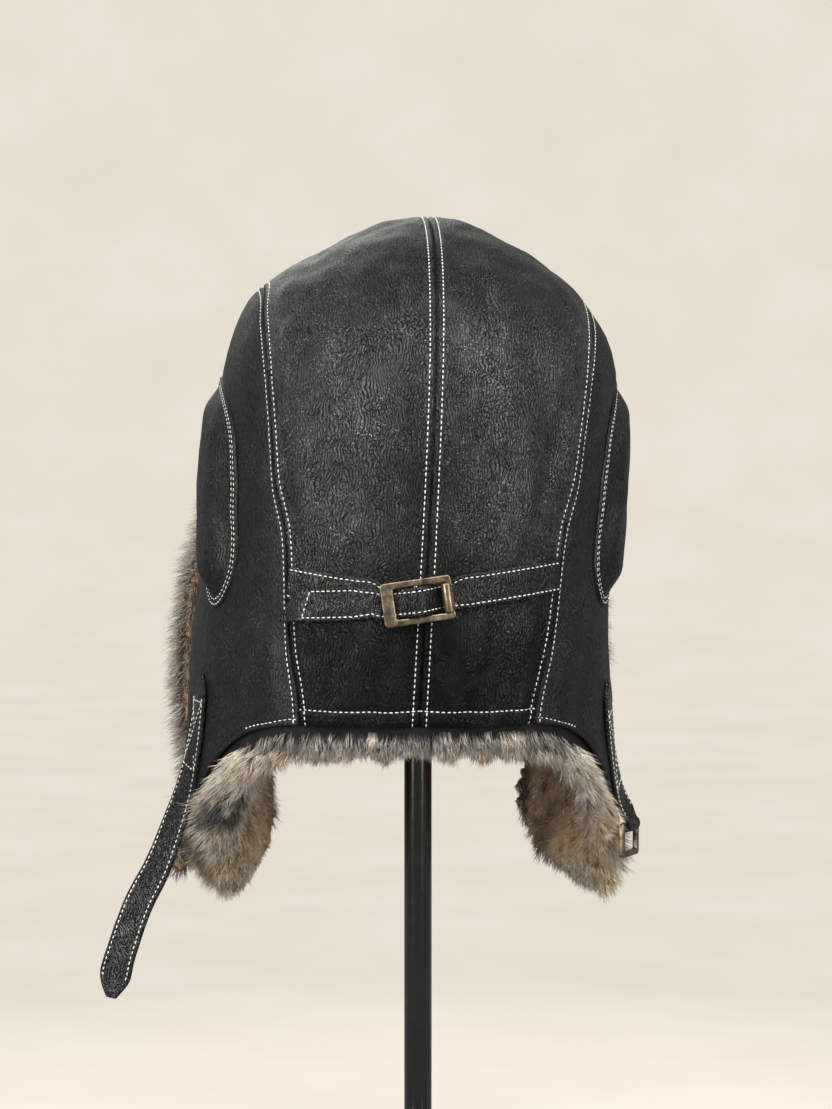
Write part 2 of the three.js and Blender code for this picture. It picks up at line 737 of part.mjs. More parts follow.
// The short chin strap ends in a loop round the small frame's bar
function makeRightChinStrap() {
  const outwards = new THREE.Vector3().crossVectors(chinBarWay, new THREE.Vector3(0, 0, 1));
  if (outwards.x > 0) outwards.negate();
  const stations = [...rightStations];
  const steps = 7;
  for (let i = 0; i <= steps; i += 1) {
    const angle = THREE.MathUtils.degToRad(loopStart + (loopTurn * i) / steps);
    const radial = new THREE.Vector3(0, 0, Math.sin(angle)).addScaledVector(outwards, Math.cos(angle));
    stations.push({
      centre: chinBarCentre.clone().addScaledVector(radial, loopRadius),
      face: radial,
      width: chinStrapEndWidth,
    });
  }
  return makeBand(stations, chinStrapThickness);
}

function makeChinBuckle() {
  const frame = frameBody(
    chinFrameWidth, chinFrameDrop, chinFrameThickness, chinFrameBar, chinFrameBar);
  frame.translate(0, -chinFrameDrop / 2 + chinBarRadius, 0);
  const outer = solid(frame);
  const loopRoom = loopRadius + chinStrapThickness / 2 + clearance;
  const trim = new THREE.BoxGeometry(chinFrameWidth - 2 * chinFrameBar, 2 * loopRoom, 2 * chinFrameThickness);
  const barLength = chinFrameWidth - chinFrameBar;
  const bar = new THREE.CylinderGeometry(chinBarRadius, chinBarRadius, barLength, barSides);
  bar.rotateZ(Math.PI / 2);
  const way = new THREE.Matrix4().makeBasis(
    chinBarWay,
    new THREE.Vector3(0, 0, 1),
    new THREE.Vector3().crossVectors(chinBarWay, new THREE.Vector3(0, 0, 1)),
  );
  way.setPosition(chinBarCentre);
  return outer.subtract(solid(trim)).add(solid(bar)).transform(way.toArray());
}

// Stand
const standBase = new THREE.CylinderGeometry(baseDiameter / 2, baseDiameter / 2, baseThickness, baseSides);
standBase.rotateX(Math.PI / 2);
standBase.translate(0, 0, baseThickness / 2);

// The rounded top fits the lining's inside, in the hat's own frame
const topFloor = innerInset + pileThickness + clearance + topDepth;

function makeStandTop() {
  const inside = form((depth, leftward) => innerInset + pileAt(depth, leftward) + clearance, leatherFoot);
  const round = new THREE.CylinderGeometry(topDiameter / 2, topDiameter / 2, topFloor, topSides);
  round.rotateX(Math.PI / 2);
  round.translate(0, 0, -topFloor / 2);
  return solid(round).intersect(inside);
}

const postTop = crownTopHeight - topFloor - clearance;
const postFoot = baseThickness + clearance;
const postLength = postTop - postFoot;
const standPost = new THREE.CylinderGeometry(postDiameter / 2, postDiameter / 2, postLength, postSides);
standPost.rotateX(Math.PI / 2);
standPost.translate(0, 0, (postTop + postFoot) / 2);

// Materials
const material = (color, roughness, metalness = 0) =>
  new THREE.MeshStandardMaterial({ color, roughness, metalness });
const crownLeather = material(0x17171a, 0.42);
const sideLeather = material(0x1d1d20, 0.6);
const patchLeather = material(0x19191c, 0.55);
const strapLeather = material(0x18181b, 0.45);
const furPile = material(0x7a6553, 1);
const brass = material(0x8f7a4d, 0.4, 1);
const standBlack = material(0x08080a, 0.18, 0.3);

const hat = new THREE.Group();
hat.position.z = crownTopHeight;

function addToHat(name, body, finish) {
  const mesh = new THREE.Mesh(geometryOf(body), finish);
  mesh.name = name;
  hat.add(mesh);
}

addToHat("crown_panel_left", middleShell.intersect(leftHalf), crownLeather);
addToHat("crown_panel_right", middleShell.intersect(rightHalf), crownLeather);
addToHat("side_panel_left", sideShell.intersect(leftHalf), sideLeather);
addToHat("side_panel_right", sideShell.intersect(rightHalf), sideLeather);
addToHat("fur_lining", makeLining(), furPile);
addToHat("fur_trim", makeTrim(), furPile);
addToHat("ear_patch_left", makePatch(1), patchLeather);
addToHat("ear_patch_right", makePatch(-1), patchLeather);
addToHat("back_strap_left", makeLeftBackStrap(), strapLeather);
addToHat("back_strap_right", makeRightBackStrap(), strapLeather);
addToHat("back_buckle", makeBackBuckle(), brass);
addToHat("chin_strap_left", makeBand(chinStations(leftStrapPath, 1), chinStrapThickness), strapLeather);
addToHat("chin_strap_right", makeRightChinStrap(), strapLeather);
addToHat("chin_buckle", makeChinBuckle(), brass);
addToHat("stand_top", makeStandTop(), standBlack);

const model = new THREE.Group();
model.add(hat);
for (const [name, geometry] of [["stand_base", standBase], ["stand_post", standPost]]) {
  const mesh = new THREE.Mesh(geometry, standBlack);
  mesh.name = name;
  model.add(mesh);
}

export default model;
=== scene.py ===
import math

import bmesh
import bpy
import numpy as np
from mathutils import Matrix, Vector
from mathutils.kdtree import KDTree


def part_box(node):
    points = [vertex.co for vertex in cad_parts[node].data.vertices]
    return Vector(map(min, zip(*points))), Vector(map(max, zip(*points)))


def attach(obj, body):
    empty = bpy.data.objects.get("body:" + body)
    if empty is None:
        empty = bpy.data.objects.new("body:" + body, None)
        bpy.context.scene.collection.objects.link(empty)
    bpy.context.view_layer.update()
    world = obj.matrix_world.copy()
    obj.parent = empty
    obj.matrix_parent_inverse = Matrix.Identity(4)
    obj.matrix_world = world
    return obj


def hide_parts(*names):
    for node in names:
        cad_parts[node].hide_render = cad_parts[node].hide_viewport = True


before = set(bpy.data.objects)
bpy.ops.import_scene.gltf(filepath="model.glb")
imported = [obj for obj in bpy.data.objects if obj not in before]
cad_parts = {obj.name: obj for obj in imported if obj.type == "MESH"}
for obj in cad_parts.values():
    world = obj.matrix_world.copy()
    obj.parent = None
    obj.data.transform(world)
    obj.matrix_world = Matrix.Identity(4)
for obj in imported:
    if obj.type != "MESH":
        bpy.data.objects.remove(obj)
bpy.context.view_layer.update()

# An aviator hat of black leather on a plain stand. Lengths below are millimetres in the hat's own
# frame: x to the wearer's left, y to the back, z up from the crown's top.
MM = 0.001
HAT_HALF_WIDTH, HAT_BACK, HAT_FRONT, HAT_HEIGHT = 97.0, 111.0, 106.0, 300.0
CROWN_TOP = 450.0
CROWN_SHIFT, RIM_SHIFT = -4.1, 10.5
LEATHER = 1.6
CLEARANCE = 0.3
BACK_SQUARENESS = 2.15
STRAP_WIDTH, STRAP_THICK, STRAP_IN_FRAME, BAND_REST = 15.0, 1.4, 12.6, 0.25
FRAME_LENGTH, FRAME_HEIGHT, FRAME_THICK, SIDE_BAR, EDGE_BAR = 31.0, 19.2, 2.5, 5.4, 2.9
CENTRE_BAR = 1.1
CHIN_THICK, CHIN_END_WIDTH = 2.0, 12.0
CHIN_FRAME_W, CHIN_FRAME_H, CHIN_BAR_W, CHIN_FRAME_THICK, CHIN_BAR = 20.0, 16.0, 2.8, 2.4, 1.2
PATCH_THICK, PATCH_FLANGE, PATCH_DOME = 8.0, 1.5, 6.0
SEAM_ROW, EDGE_ROW = 3.0, 7.0
PATCH_ROWS = (2.1, 4.7)
STRAP_ROW = 1.8
BACK_STRAP_DEPTH = 168.0
BASE_RADIUS, BASE_HEIGHT, POST_RADIUS = 90, 8, 6.35
SIDES = ((1, "left"), (-1, "right"))

# drop, left, right, back, front, squareness in front
SECTIONS = np.array([
    (0, 0, 0, 0, 0, 2), (0.0077, 0.17, 0.15, 0.21, 0.21, 2), (0.0233, 0.3, 0.245, 0.36, 0.36, 2),
    (0.0453, 0.44, 0.395, 0.5, 0.49, 2), (0.0833, 0.655, 0.59, 0.65, 0.64, 2),
    (0.1133, 0.785, 0.71, 0.74, 0.735, 2), (0.157, 0.856, 0.815, 0.838, 0.83, 2),
    (0.197, 0.897, 0.878, 0.901, 0.887, 2.05), (0.243, 0.925, 0.912, 0.946, 0.934, 2.15),
    (0.333, 0.938, 0.92, 0.991, 1.01, 2.3), (0.467, 0.957, 0.921, 1, 1.12, 2.9),
    (0.6, 0.993, 0.941, 0.982, 1.21, 3.5), (0.74, 1.008, 0.965, 0.946, 1.22, 3.5),
    (0.883, 1.004, 1.013, 0.9, 1.18, 2.5), (1, 1.02, 1.085, 0.865, 1.12, 2),
    (1.3, 1.04, 1.11, 0.84, 1.06, 2),
])
# drop and side of the side seams seen from behind
SEAM_LINE = np.array([
    (0, 0.76), (0.11, 0.76), (0.153, 0.766), (0.24, 0.742), (0.327, 0.714), (0.4, 0.689),
    (0.467, 0.638), (0.63, 0.595), (0.72, 0.543), (0.8, 0.525), (1.3, 0.5),
])
# along and drop of the leather's edge seen from the side
EDGE_OUTLINE = np.array([
    (1.2, 0.747), (0.946, 0.747), (0.811, 0.75), (0.694, 0.76), (0.577, 0.783), (0.45, 0.82),
    (0.342, 0.857), (0.234, 0.893), (0.09, 0.94), (-0.094, 0.98), (-0.34, 1.003), (-0.547, 0.983),
    (-0.698, 0.927), (-0.774, 0.84), (-0.792, 0.75), (-0.774, 0.633), (-0.755, 0.5), (-0.76, 0.4),
    (-0.811, 0.333), (-0.915, 0.305), (-1.02, 0.3), (-1.3, 0.3),
])
PATCH_OUTLINE = np.array([
    (0.02, 0.243), (0.243, 0.27), (0.405, 0.32), (0.486, 0.393), (0.51, 0.443), (0.545, 0.497),
    (0.54, 0.543), (0.47, 0.582), (0.38, 0.587), (0.27, 0.56), (0.1, 0.515), (-0.04, 0.46),
    (-0.12, 0.393), (-0.12, 0.327), (-0.06, 0.275),
])
PATCH_CENTRE = (0.22, 0.43)


def column(table, col, drop):
    """A smooth value of one table column at each drop share, through the drop's square root."""
    place = np.sqrt(table[:, 0])
    value = table[:, col]
    at = np.sqrt(np.maximum(drop, 0))
    last = len(place) - 1
    after = np.minimum(np.arange(last + 1) + 1, last)
    before = np.maximum(np.arange(last + 1) - 1, 0)
    slope = (value[after] - value[before]) / (place[after] - place[before])
    i = np.clip(np.searchsorted(place[1:last], at), 0, last - 1)
    width = place[i + 1] - place[i]
    t = np.clip((at - place[i]) / width, 0, 1)
    t2, t3 = t * t, t * t * t
    return ((2 * t3 - 3 * t2 + 1) * value[i] + (t3 - 2 * t2 + t) * width * slope[i]
            + (3 * t2 - 2 * t3) * value[i + 1] + (t3 - t2) * width * slope[i + 1])


def middle_at(depth):
    return CROWN_SHIFT + (RIM_SHIFT - CROWN_SHIFT) * np.asarray(depth, float) / HAT_HEIGHT


def section(depth, behind, left):
    drop = np.maximum(np.asarray(depth, float), 0.02) / HAT_HEIGHT
    half = np.where(left, column(SECTIONS, 1, drop), column(SECTIONS, 2, drop)) * HAT_HALF_WIDTH
    reach = np.where(behind, column(SECTIONS, 3, drop) * HAT_BACK, column(SECTIONS, 4, drop) * HAT_FRONT)
    power = np.where(behind, BACK_SQUARENESS, column(SECTIONS, 5, drop))
    return half, reach, power


def outside(p):
    off = p[..., 0] - middle_at(-p[..., 2])
    half, reach, power = section(-p[..., 2], p[..., 1] > 0, off > 0)
    return (np.abs(off) / half) ** power + (np.abs(p[..., 1]) / reach) ** power


def gradient(p, d=0.05):
    p = p.copy()
    p[..., 2] = np.minimum(p[..., 2], -2 * d)
    parts = []
    for k in range(3):
        step = np.zeros(3)
        step[k] = d
        parts.append((outside(p + step) - outside(p - step)) / (2 * d))
    return np.stack(parts, axis=-1)


def unit(v):
    return v / np.maximum(np.linalg.norm(v, axis=-1, keepdims=True), 1e-12)


def normal_at(p):
    return unit(gradient(p))


def settle(p, rounds=8):
    """Moves points along the skin's gradient until they lie on the leather's outer form."""
    p = np.array(p, float)
    for _ in range(rounds):
        g = gradient(p)
        error = outside(p) - 1
        step = g * (error / np.maximum((g * g).sum(-1), 1e-9))[..., None]
        length = np.linalg.norm(step, axis=-1, keepdims=True)
        p = p - step * np.minimum(1, 8 / np.maximum(length, 1e-9))
        p[..., 2] = np.minimum(p[..., 2], -0.02)
    return p


def skin_from_side(y, depth, side):
    y, depth = np.broadcast_arrays(np.asarray(y, float), np.asarray(depth, float))
    half, reach, power = section(depth, y > 0, side > 0)
    share = np.minimum(np.abs(y) / reach, 1)
    x = middle_at(depth) + side * half * (1 - share ** power) ** (1 / power)
    return np.stack([x, y, -depth], axis=-1)


def skin_from_back(off, depth, behind=True):
    off, depth = np.broadcast_arrays(np.asarray(off, float), np.asarray(depth, float))
    half, reach, power = section(depth, behind, off > 0)
    y = reach * np.maximum(1 - (np.abs(off) / half) ** power, 0) ** (1 / power)
    return np.stack([middle_at(depth) + off, y if behind else -y, -depth], axis=-1)


def along_y(share):
    share = np.asarray(share, float)
    return share * np.where(share > 0, HAT_BACK, HAT_FRONT)


def to_world(p):
    return (np.asarray(p, float) + (0, 0, CROWN_TOP)) * MM


def walked(points):
    return np.concatenate([[0], np.cumsum(np.linalg.norm(np.diff(points, axis=0), axis=1))])


def evenly(points, count):
    """Count points at even distances along a line of points."""
    at = walked(points)
    want = np.linspace(0, at[-1], count)
    return np.column_stack([np.interp(want, at, points[:, k]) for k in range(points.shape[1])])


def smooth_line(points, steps, closed=False):
    """A curve through every point, with so many steps between two of them."""
    n = len(points)
    rows = []
    for i in range(n if closed else n - 1):
        if closed:
            p0, p1, p2, p3 = (points[(i + k) % n] for k in (-1, 0, 1, 2))
        else:
            p0, p1, p2, p3 = points[max(i - 1, 0)], points[i], points[i + 1], points[min(i + 2, n - 1)]
        t = np.linspace(0, 1, steps, endpoint=False)[:, None]
        v0, v1 = (p2 - p0) / 2, (p3 - p1) / 2
        cubic = 2 * p1 - 2 * p2 + v0 + v1
        square = -3 * p1 + 3 * p2 - 2 * v0 - v1
        rows.append(cubic * t ** 3 + square * t ** 2 + v0 * t + p1)
    if not closed:
        rows.append(points[-1:])
    return np.concatenate(rows)


# Blender helpers


def only(piece):
    """Deselects everything and makes this piece the selected and active one."""
    if bpy.context.object and bpy.context.object.mode != "OBJECT":
        bpy.ops.object.mode_set(mode="OBJECT")
    bpy.ops.object.select_all(action="DESELECT")
    piece.select_set(True)
    bpy.context.view_layer.objects.active = piece


def name_piece(name):
    piece = bpy.context.object
    piece.name = name
    piece.data.name = name
    return piece


def new_object(name, data):
    piece = bpy.data.objects.new(name, data)
    bpy.context.scene.collection.objects.link(piece)
    return piece


def meshed(name, points, faces):
    """A new piece from points in metres and faces."""
    mesh = bpy.data.meshes.new(name)
    mesh.from_pydata(np.asarray(points).tolist(), [], faces)
    return new_object(name, mesh)


def edit_all(piece):
    """Edit mode on this piece, with all of it selected."""
    only(piece)
    bpy.ops.object.mode_set(mode="EDIT")
    bpy.ops.mesh.select_all(action="SELECT")


def leave_edit():
    bpy.ops.object.mode_set(mode="OBJECT")


def set_points(piece, points):
    piece.data.vertices.foreach_set("co", np.ascontiguousarray(points, np.float32).ravel())
    piece.data.update()


def get_points(piece):
    co = np.empty(len(piece.data.vertices) * 3, np.float32)
    piece.data.vertices.foreach_get("co", co)
    return co.reshape(-1, 3).astype(float)


def get_normals(piece):
    co = np.empty(len(piece.data.vertices) * 3, np.float32)
    piece.data.vertex_normals.foreach_get("vector", co)
    return co.reshape(-1, 3).astype(float)


def hat_points(piece):
    """A piece's points in the hat's frame."""
    return get_points(piece) / MM - (0, 0, CROWN_TOP)


def grid_piece(name, points):
    """A grid primitive whose rows and columns are laid on an array of points, rows by columns."""
    rows, cols = points.shape[:2]
    bpy.ops.object.select_all(action="DESELECT")
    bpy.ops.mesh.primitive_grid_add(x_subdivisions=cols - 1, y_subdivisions=rows - 1, size=1, calc_uvs=True)
    piece = name_piece(name)
    set_points(piece, to_world(points.reshape(-1, 3)))
    return piece


def finish_mesh(piece, merge=0.00002, outwards=True):
    edit_all(piece)
    bpy.ops.mesh.remove_doubles(threshold=merge)
    if outwards:
        bpy.ops.mesh.normals_make_consistent(inside=False)
    bpy.ops.mesh.select_all(action="DESELECT")
    leave_edit()


def apply_modifier(piece, kind, **settings):
    only(piece)
    modifier = piece.modifiers.new(kind.title(), kind)
    for key, value in settings.items():
        setattr(modifier, key, value)
    bpy.ops.object.modifier_apply(modifier=modifier.name)


def round_over(piece, width, segments, angle):
    """Rounds the edges that are sharper than an angle."""
    apply_modifier(piece, "BEVEL", width=width * MM, segments=segments, limit_method="ANGLE",
                   angle_limit=math.radians(angle))


def smooth(piece, angle):
    only(piece)
    bpy.ops.object.shade_smooth_by_angle(angle=math.radians(angle))


def dress(piece, finish, body="hat", replaces=()):
    piece.data.materials.clear()
    piece.data.materials.append(finish)
    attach(piece, body)
    if replaces:
        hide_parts(*replaces)
    return piece


def copy_node(node, name):
    """A welded copy of a CAD node, as a new piece in the same place."""
    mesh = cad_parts[node].data.copy()
    mesh.name = name
    piece = new_object(name, mesh)
    edit_all(piece)
    bpy.ops.mesh.remove_doubles(threshold=0.00001)
    leave_edit()
    return piece


# Finishes


class Finish:
    """A material and its nodes."""

    def __init__(self, name):
        self.material = bpy.data.materials.new(name)
        self.material.use_nodes = True
        self.nodes = self.material.node_tree.nodes
        self.links = self.material.node_tree.links
        self.shader = self.nodes["Principled BSDF"]
        self.place = self.nodes.new("ShaderNodeTexCoord").outputs["Object"]

    def link(self, a, b):
        self.links.new(a, b)

    def drive(self, value, socket):
        """A value that varies over the surface drives a socket of the shader."""
        self.link(value, self.shader.inputs[socket])

    def set(self, **sockets):
        for key, value in sockets.items():
            self.shader.inputs[key.replace("_", " ")].default_value = value

    def vectors(self, operation, a, b=None):
        node = self.nodes.new("ShaderNodeVectorMath")
        node.operation = operation
        self.link(a, node.inputs[0])
        if isinstance(b, tuple):
            node.inputs[1].default_value = b
        elif b is not None:
            self.link(b, node.inputs[1])
        return node

    def stretched(self, scale, source=None):
        node = self.nodes.new("ShaderNodeMapping")
        node.inputs["Scale"].default_value = scale
        self.link(source or self.place, node.inputs["Vector"])
        return node.outputs["Vector"]

    def noise(self, scale, detail=4.0, rough=0.5, source=None, distortion=0.0):
        node = self.nodes.new("ShaderNodeTexNoise")
        node.inputs["Scale"].default_value = scale
        node.inputs["Detail"].default_value = detail
        node.inputs["Roughness"].default_value = rough
        node.inputs["Distortion"].default_value = distortion
        self.link(source or self.place, node.inputs["Vector"])
        return node.outputs["Fac"]

    def cells(self, scale, feature="DISTANCE_TO_EDGE", source=None, randomness=1.0):
        node = self.nodes.new("ShaderNodeTexVoronoi")
        node.feature = feature
        node.inputs["Scale"].default_value = scale
        node.inputs["Randomness"].default_value = randomness
        self.link(source or self.place, node.inputs["Vector"])
        return node.outputs["Distance"]

    def bands(self, scale, distortion, detail, detail_scale, source=None):
        """Upright lines side by side, pushed about."""
        node = self.nodes.new("ShaderNodeTexWave")
        node.wave_type = "BANDS"
        node.bands_direction = "X"
        node.inputs["Scale"].default_value = scale
        node.inputs["Distortion"].default_value = distortion
        node.inputs["Detail"].default_value = detail
        node.inputs["Detail Scale"].default_value = detail_scale
        self.link(source or self.place, node.inputs["Vector"])
        return node.outputs["Fac"]

    def warped(self, scale, amount, source=None):
        """Object coordinates pushed about by noise, for lines that wander."""
        noise = self.nodes.new("ShaderNodeTexNoise")
        noise.inputs["Scale"].default_value = scale
        noise.inputs["Detail"].default_value = 3
        self.link(source or self.place, noise.inputs["Vector"])
        mix = self.nodes.new("ShaderNodeVectorMath")
        mix.operation = "MULTIPLY_ADD"
        mix.inputs[1].default_value = (amount, amount, amount)
        self.link(noise.outputs["Color"], mix.inputs[0])
        self.link(source or self.place, mix.inputs[2])
        return mix.outputs["Vector"]

    def ramp(self, value, *stops):
        """Colours or greys by a value: each stop is (position, grey or colour)."""
        node = self.nodes.new("ShaderNodeValToRGB")
        stops = [(at, (c, c, c) if isinstance(c, (int, float)) else c) for at, c in stops]
        while len(node.color_ramp.elements) < len(stops):
            node.color_ramp.elements.new(0.5)
        for element, (at, colour) in zip(node.color_ramp.elements, stops):
            element.position = at
            element.color = (*colour, 1)
        self.link(value, node.inputs["Fac"])
        return node.outputs["Color"]

    def maths(self, operation, a, b):
        node = self.nodes.new("ShaderNodeMath")
        node.operation = operation
        for socket, value in zip(node.inputs, (a, b)):
            if isinstance(value, (int, float)):
                socket.default_value = value
            else:
                self.link(value, socket)
        return node.outputs["Value"]

    def mix(self, share, a, b):
        node = self.nodes.new("ShaderNodeMix")
        node.data_type = "RGBA"
        sockets = {s.identifier: s for s in node.inputs}
        for key, value in (("Factor_Float", share), ("A_Color", a), ("B_Color", b)):
            if isinstance(value, tuple):
                sockets[key].default_value = (*value, 1)
            elif not isinstance(value, (int, float)):
                self.link(value, sockets[key])
            elif key == "Factor_Float":
                sockets[key].default_value = value
            else:
                sockets[key].default_value = (value, value, value, 1)
        return next(s for s in node.outputs if s.identifier == "Result_Color")

    def along(self, direction):
        """How far a point lies along a direction."""
        return self.vectors("DOT_PRODUCT", self.place, direction).outputs["Value"]

    def bump(self, height, distance, strength=1.0, after=None):
        node = self.nodes.new("ShaderNodeBump")
        node.inputs["Strength"].default_value = strength
        node.inputs["Distance"].default_value = distance
        self.link(height, node.inputs["Height"])
        if after is not None:
            self.link(after, node.inputs["Normal"])
        return node.outputs["Normal"]

    def dye(self):
        """The colour that each hair or point carries."""
        node = self.nodes.new("ShaderNodeAttribute")
        node.attribute_name = "dye"
        return node.outputs["Color"]


def leather_finish(name, dark, light, rough_low, rough_high, crease, gloss, seam_shade=0.0):
    """Black leather: wandering crinkles, pebbled grain between them and smoother places, with painted shade in
    the creases and, on the crown, by the centre seam, the hem and the top, and painted glints.
    """
    f = Finish(name)
    wander = f.warped(60, 0.011)
    bands = f.bands(235, 5.0, 3.0, 1.6, source=f.warped(210, 0.0022, wander))
    lines = f.ramp(bands, (0.0, 0.0), (0.16, 0.1), (0.4, 0.95), (1.0, 1.0))
    cells = f.cells(620, source=f.stretched((1.3, 1.0, 0.6), wander))
    cells = f.ramp(cells, (0.0, 0.0), (0.1, 0.7), (0.3, 1.0))
    share = f.ramp(f.noise(150, 3, 0.6), (0.38, 0.0), (0.62, 1.0))
    crinkle = f.mix(share, lines, cells)
    where = f.ramp(f.noise(40, 4, 0.6), (0.28, 0.45), (0.5, 1.0))
    crinkle = f.mix(where, 1.0, crinkle)
    fine = f.noise(1700, 3, 0.65)
    folds = f.noise(48, 3, 0.5, source=f.stretched((1.2, 1.2, 0.3)))
    soft = f.bump(folds, 0.003 * crease, 0.6)
    first = f.bump(crinkle, 0.0006 * crease, 1.0, after=soft)
    second = f.bump(fine, 0.00022 * crease, 1.0, after=first)
    f.drive(second, "Normal")
    f.drive(second, "Coat Normal")
    # painted shade on the crown: colour, coat and glints are darker beside the centre seam low down, towards the
    # hem and a little at the top
    height = f.along((0, 0, 1))
    from_seam = f.maths("ABSOLUTE", f.maths("SUBTRACT", f.along((1, 0, 0)), 0.003), 0)
    near = f.ramp(from_seam, (0.006, 0.35), (0.03, 1.0))
    shade_by_seam = f.mix(f.ramp(height, (0.34, 0.0), (0.4, 1.0)), near, 1.0)
    low = f.ramp(height, (0.2, 0.12), (0.26, 0.2), (0.31, 1.0), (0.37, 1.0), (0.43, 0.45))
    painted_shade = f.mix(seam_shade, 1.0, f.maths("MULTIPLY", shade_by_seam, low))
    shine = f.maths("MULTIPLY", f.ramp(crinkle, (0.0, 0.04), (0.5, 0.5), (1.0, 1.0)), gloss)
    shine = f.maths("MULTIPLY", shine, painted_shade)
    f.drive(f.maths("MULTIPLY", shine, 2.0), "Coat Weight")
    f.set(Coat_Roughness=0.6 * rough_low + 0.1, Specular_IOR_Level=0.12)
    # painted glints: tiny light-grey points in the base colour, in patches, stand in for light caught along the
    # crinkles
    points = f.ramp(f.noise(1250, 2, 0.6), (0.61, 0.0), (0.68, 1.0))
    glint_patches = f.ramp(f.noise(55, 3, 0.6), (0.45, 0.0), (0.6, crease))
    points = f.maths("MULTIPLY", points, glint_patches)
    points = f.maths("MULTIPLY", points, painted_shade)
    # painted shade: the creases of the crinkles are dark in the base colour
    base = f.mix(f.maths("MULTIPLY", crinkle, painted_shade), dark, light)
    f.drive(f.mix(points, base, (0.3, 0.3, 0.3)), "Base Color")
    f.drive(f.ramp(f.noise(48, 4, 0.6), (0.32, rough_low), (0.68, rough_high)), "Roughness")
    return f.material


def thread_finish():
    f = Finish("cream_thread")
    tone = f.ramp(f.noise(900, 2), (0.3, (0.62, 0.6, 0.54)), (0.7, (0.86, 0.84, 0.78)))
    f.drive(tone, "Base Color")
    f.drive(f.bump(f.noise(4200, 2), 0.0001, 0.6), "Normal")
    f.set(Roughness=0.72)
    return f.material


def fur_finish():
    f = Finish("dyed_fur")
    dye = f.dye()
    uneven = f.ramp(f.noise(160, 3, 0.6), (0.3, 0.72), (0.7, 1.18))
    f.drive(f.vectors("MULTIPLY", dye, uneven).outputs["Vector"], "Base Color")
    f.set(Roughness=0.55, Specular_IOR_Level=0.22, Sheen_Weight=0.06, Sheen_Roughness=0.5)
    return f.material


def under_fur_finish():
    f = Finish("under_fur")
    f.drive(f.dye(), "Base Color")
    strands = f.noise(700, 5, 0.7, source=f.stretched((1, 1, 0.2)))
    f.drive(f.bump(strands, 0.002, 0.8), "Normal")
    f.set(Roughness=0.9)
    return f.material


def brass_finish():
    f = Finish("aged_brass")
    tarnish = f.ramp(f.noise(260, 5, 0.65), (0.32, (0.1, 0.075, 0.048)), (0.5, (0.26, 0.2, 0.13)),
                     (0.72, (0.42, 0.34, 0.23)))
    f.drive(tarnish, "Base Color")
    f.drive(f.ramp(f.noise(500, 4, 0.6), (0.3, 0.28), (0.7, 0.5)), "Roughness")
    f.drive(f.bump(f.noise(1500, 3), 0.00008, 0.5), "Normal")
    f.set(Metallic=1.0)
    return f.material


def stand_finish(name, rough, coat):
    f = Finish(name)
    paint = f.ramp(f.noise(35, 4, 0.6), (0.3, (0.006, 0.006, 0.006)), (0.7, (0.012, 0.012, 0.011)))
    f.drive(paint, "Base Color")
    f.drive(f.ramp(f.noise(220, 4, 0.7), (0.3, rough), (0.75, rough + 0.12)), "Roughness")
    f.drive(f.bump(f.noise(900, 3), 0.00005, 0.4), "Normal")
    f.set(Coat_Weight=coat, Coat_Roughness=0.08)
    return f.material


CROWN_LEATHER = leather_finish(
    "crown_leather", (0.001, 0.001, 0.001), (0.024, 0.024, 0.0242), 0.24, 0.4, crease=1.0, gloss=0.4, seam_shade=1.0)
SIDE_LEATHER = leather_finish(
    "side_leather", (0.007, 0.007, 0.0072), (0.012, 0.012, 0.0122), 0.5, 0.62, crease=0.3, gloss=0.18)
PATCH_LEATHER = leather_finish(
    "patch_leather", (0.006, 0.006, 0.0062), (0.011, 0.011, 0.0112), 0.44, 0.56, crease=0.3, gloss=0.2)
STRAP_LEATHER = leather_finish(
    "strap_leather", (0.002, 0.002, 0.002), (0.008, 0.008, 0.0082), 0.26, 0.4, crease=0.7, gloss=0.34)
THREAD = thread_finish()
FUR = fur_finish()
UNDER_FUR = under_fur_finish()
BRASS = brass_finish()
POST_BLACK = stand_finish("gloss_black", 0.12, 0.6)
BASE_BLACK = stand_finish("satin_black", 0.32, 0.2)


# Stitches. One is modelled, and every row is that stitch repeated in one mesh.

STITCH_LENGTH, STITCH_WIDE, STITCH_HIGH, STITCH_PITCH = 1.66, 0.62, 0.5, 2.5


def model_stitch():
    bpy.ops.object.select_all(action="DESELECT")
    bpy.ops.mesh.primitive_uv_sphere_add(segments=6, ring_count=4, radius=0.5)
    stitch = bpy.context.object
    edit_all(stitch)
    bpy.ops.transform.resize(value=(STITCH_WIDE, STITCH_HIGH, STITCH_LENGTH))
    leave_edit()
    points = get_points(stitch)
    faces = [tuple(p.vertices) for p in stitch.data.polygons]
    bpy.data.objects.remove(stitch, do_unlink=True)
    return points, faces


STITCH_POINTS, STITCH_FACES = model_stitch()
MESSY = np.random.default_rng(7)


def stitch_places(line, normals, lead=1.0):
    """Centres, directions and normals of the stitches along a line of points."""
    at = walked(line)
    centres = np.arange(lead, at[-1] - lead * 0.5, STITCH_PITCH)

    def look(values, where):
        return np.column_stack([np.interp(where, at, values[:, k]) for k in range(3)])

    way = unit(look(line, np.minimum(centres + 0.6, at[-1])) - look(line, np.maximum(centres - 0.6, 0)))
    return look(line, centres), way, unit(look(normals, centres))


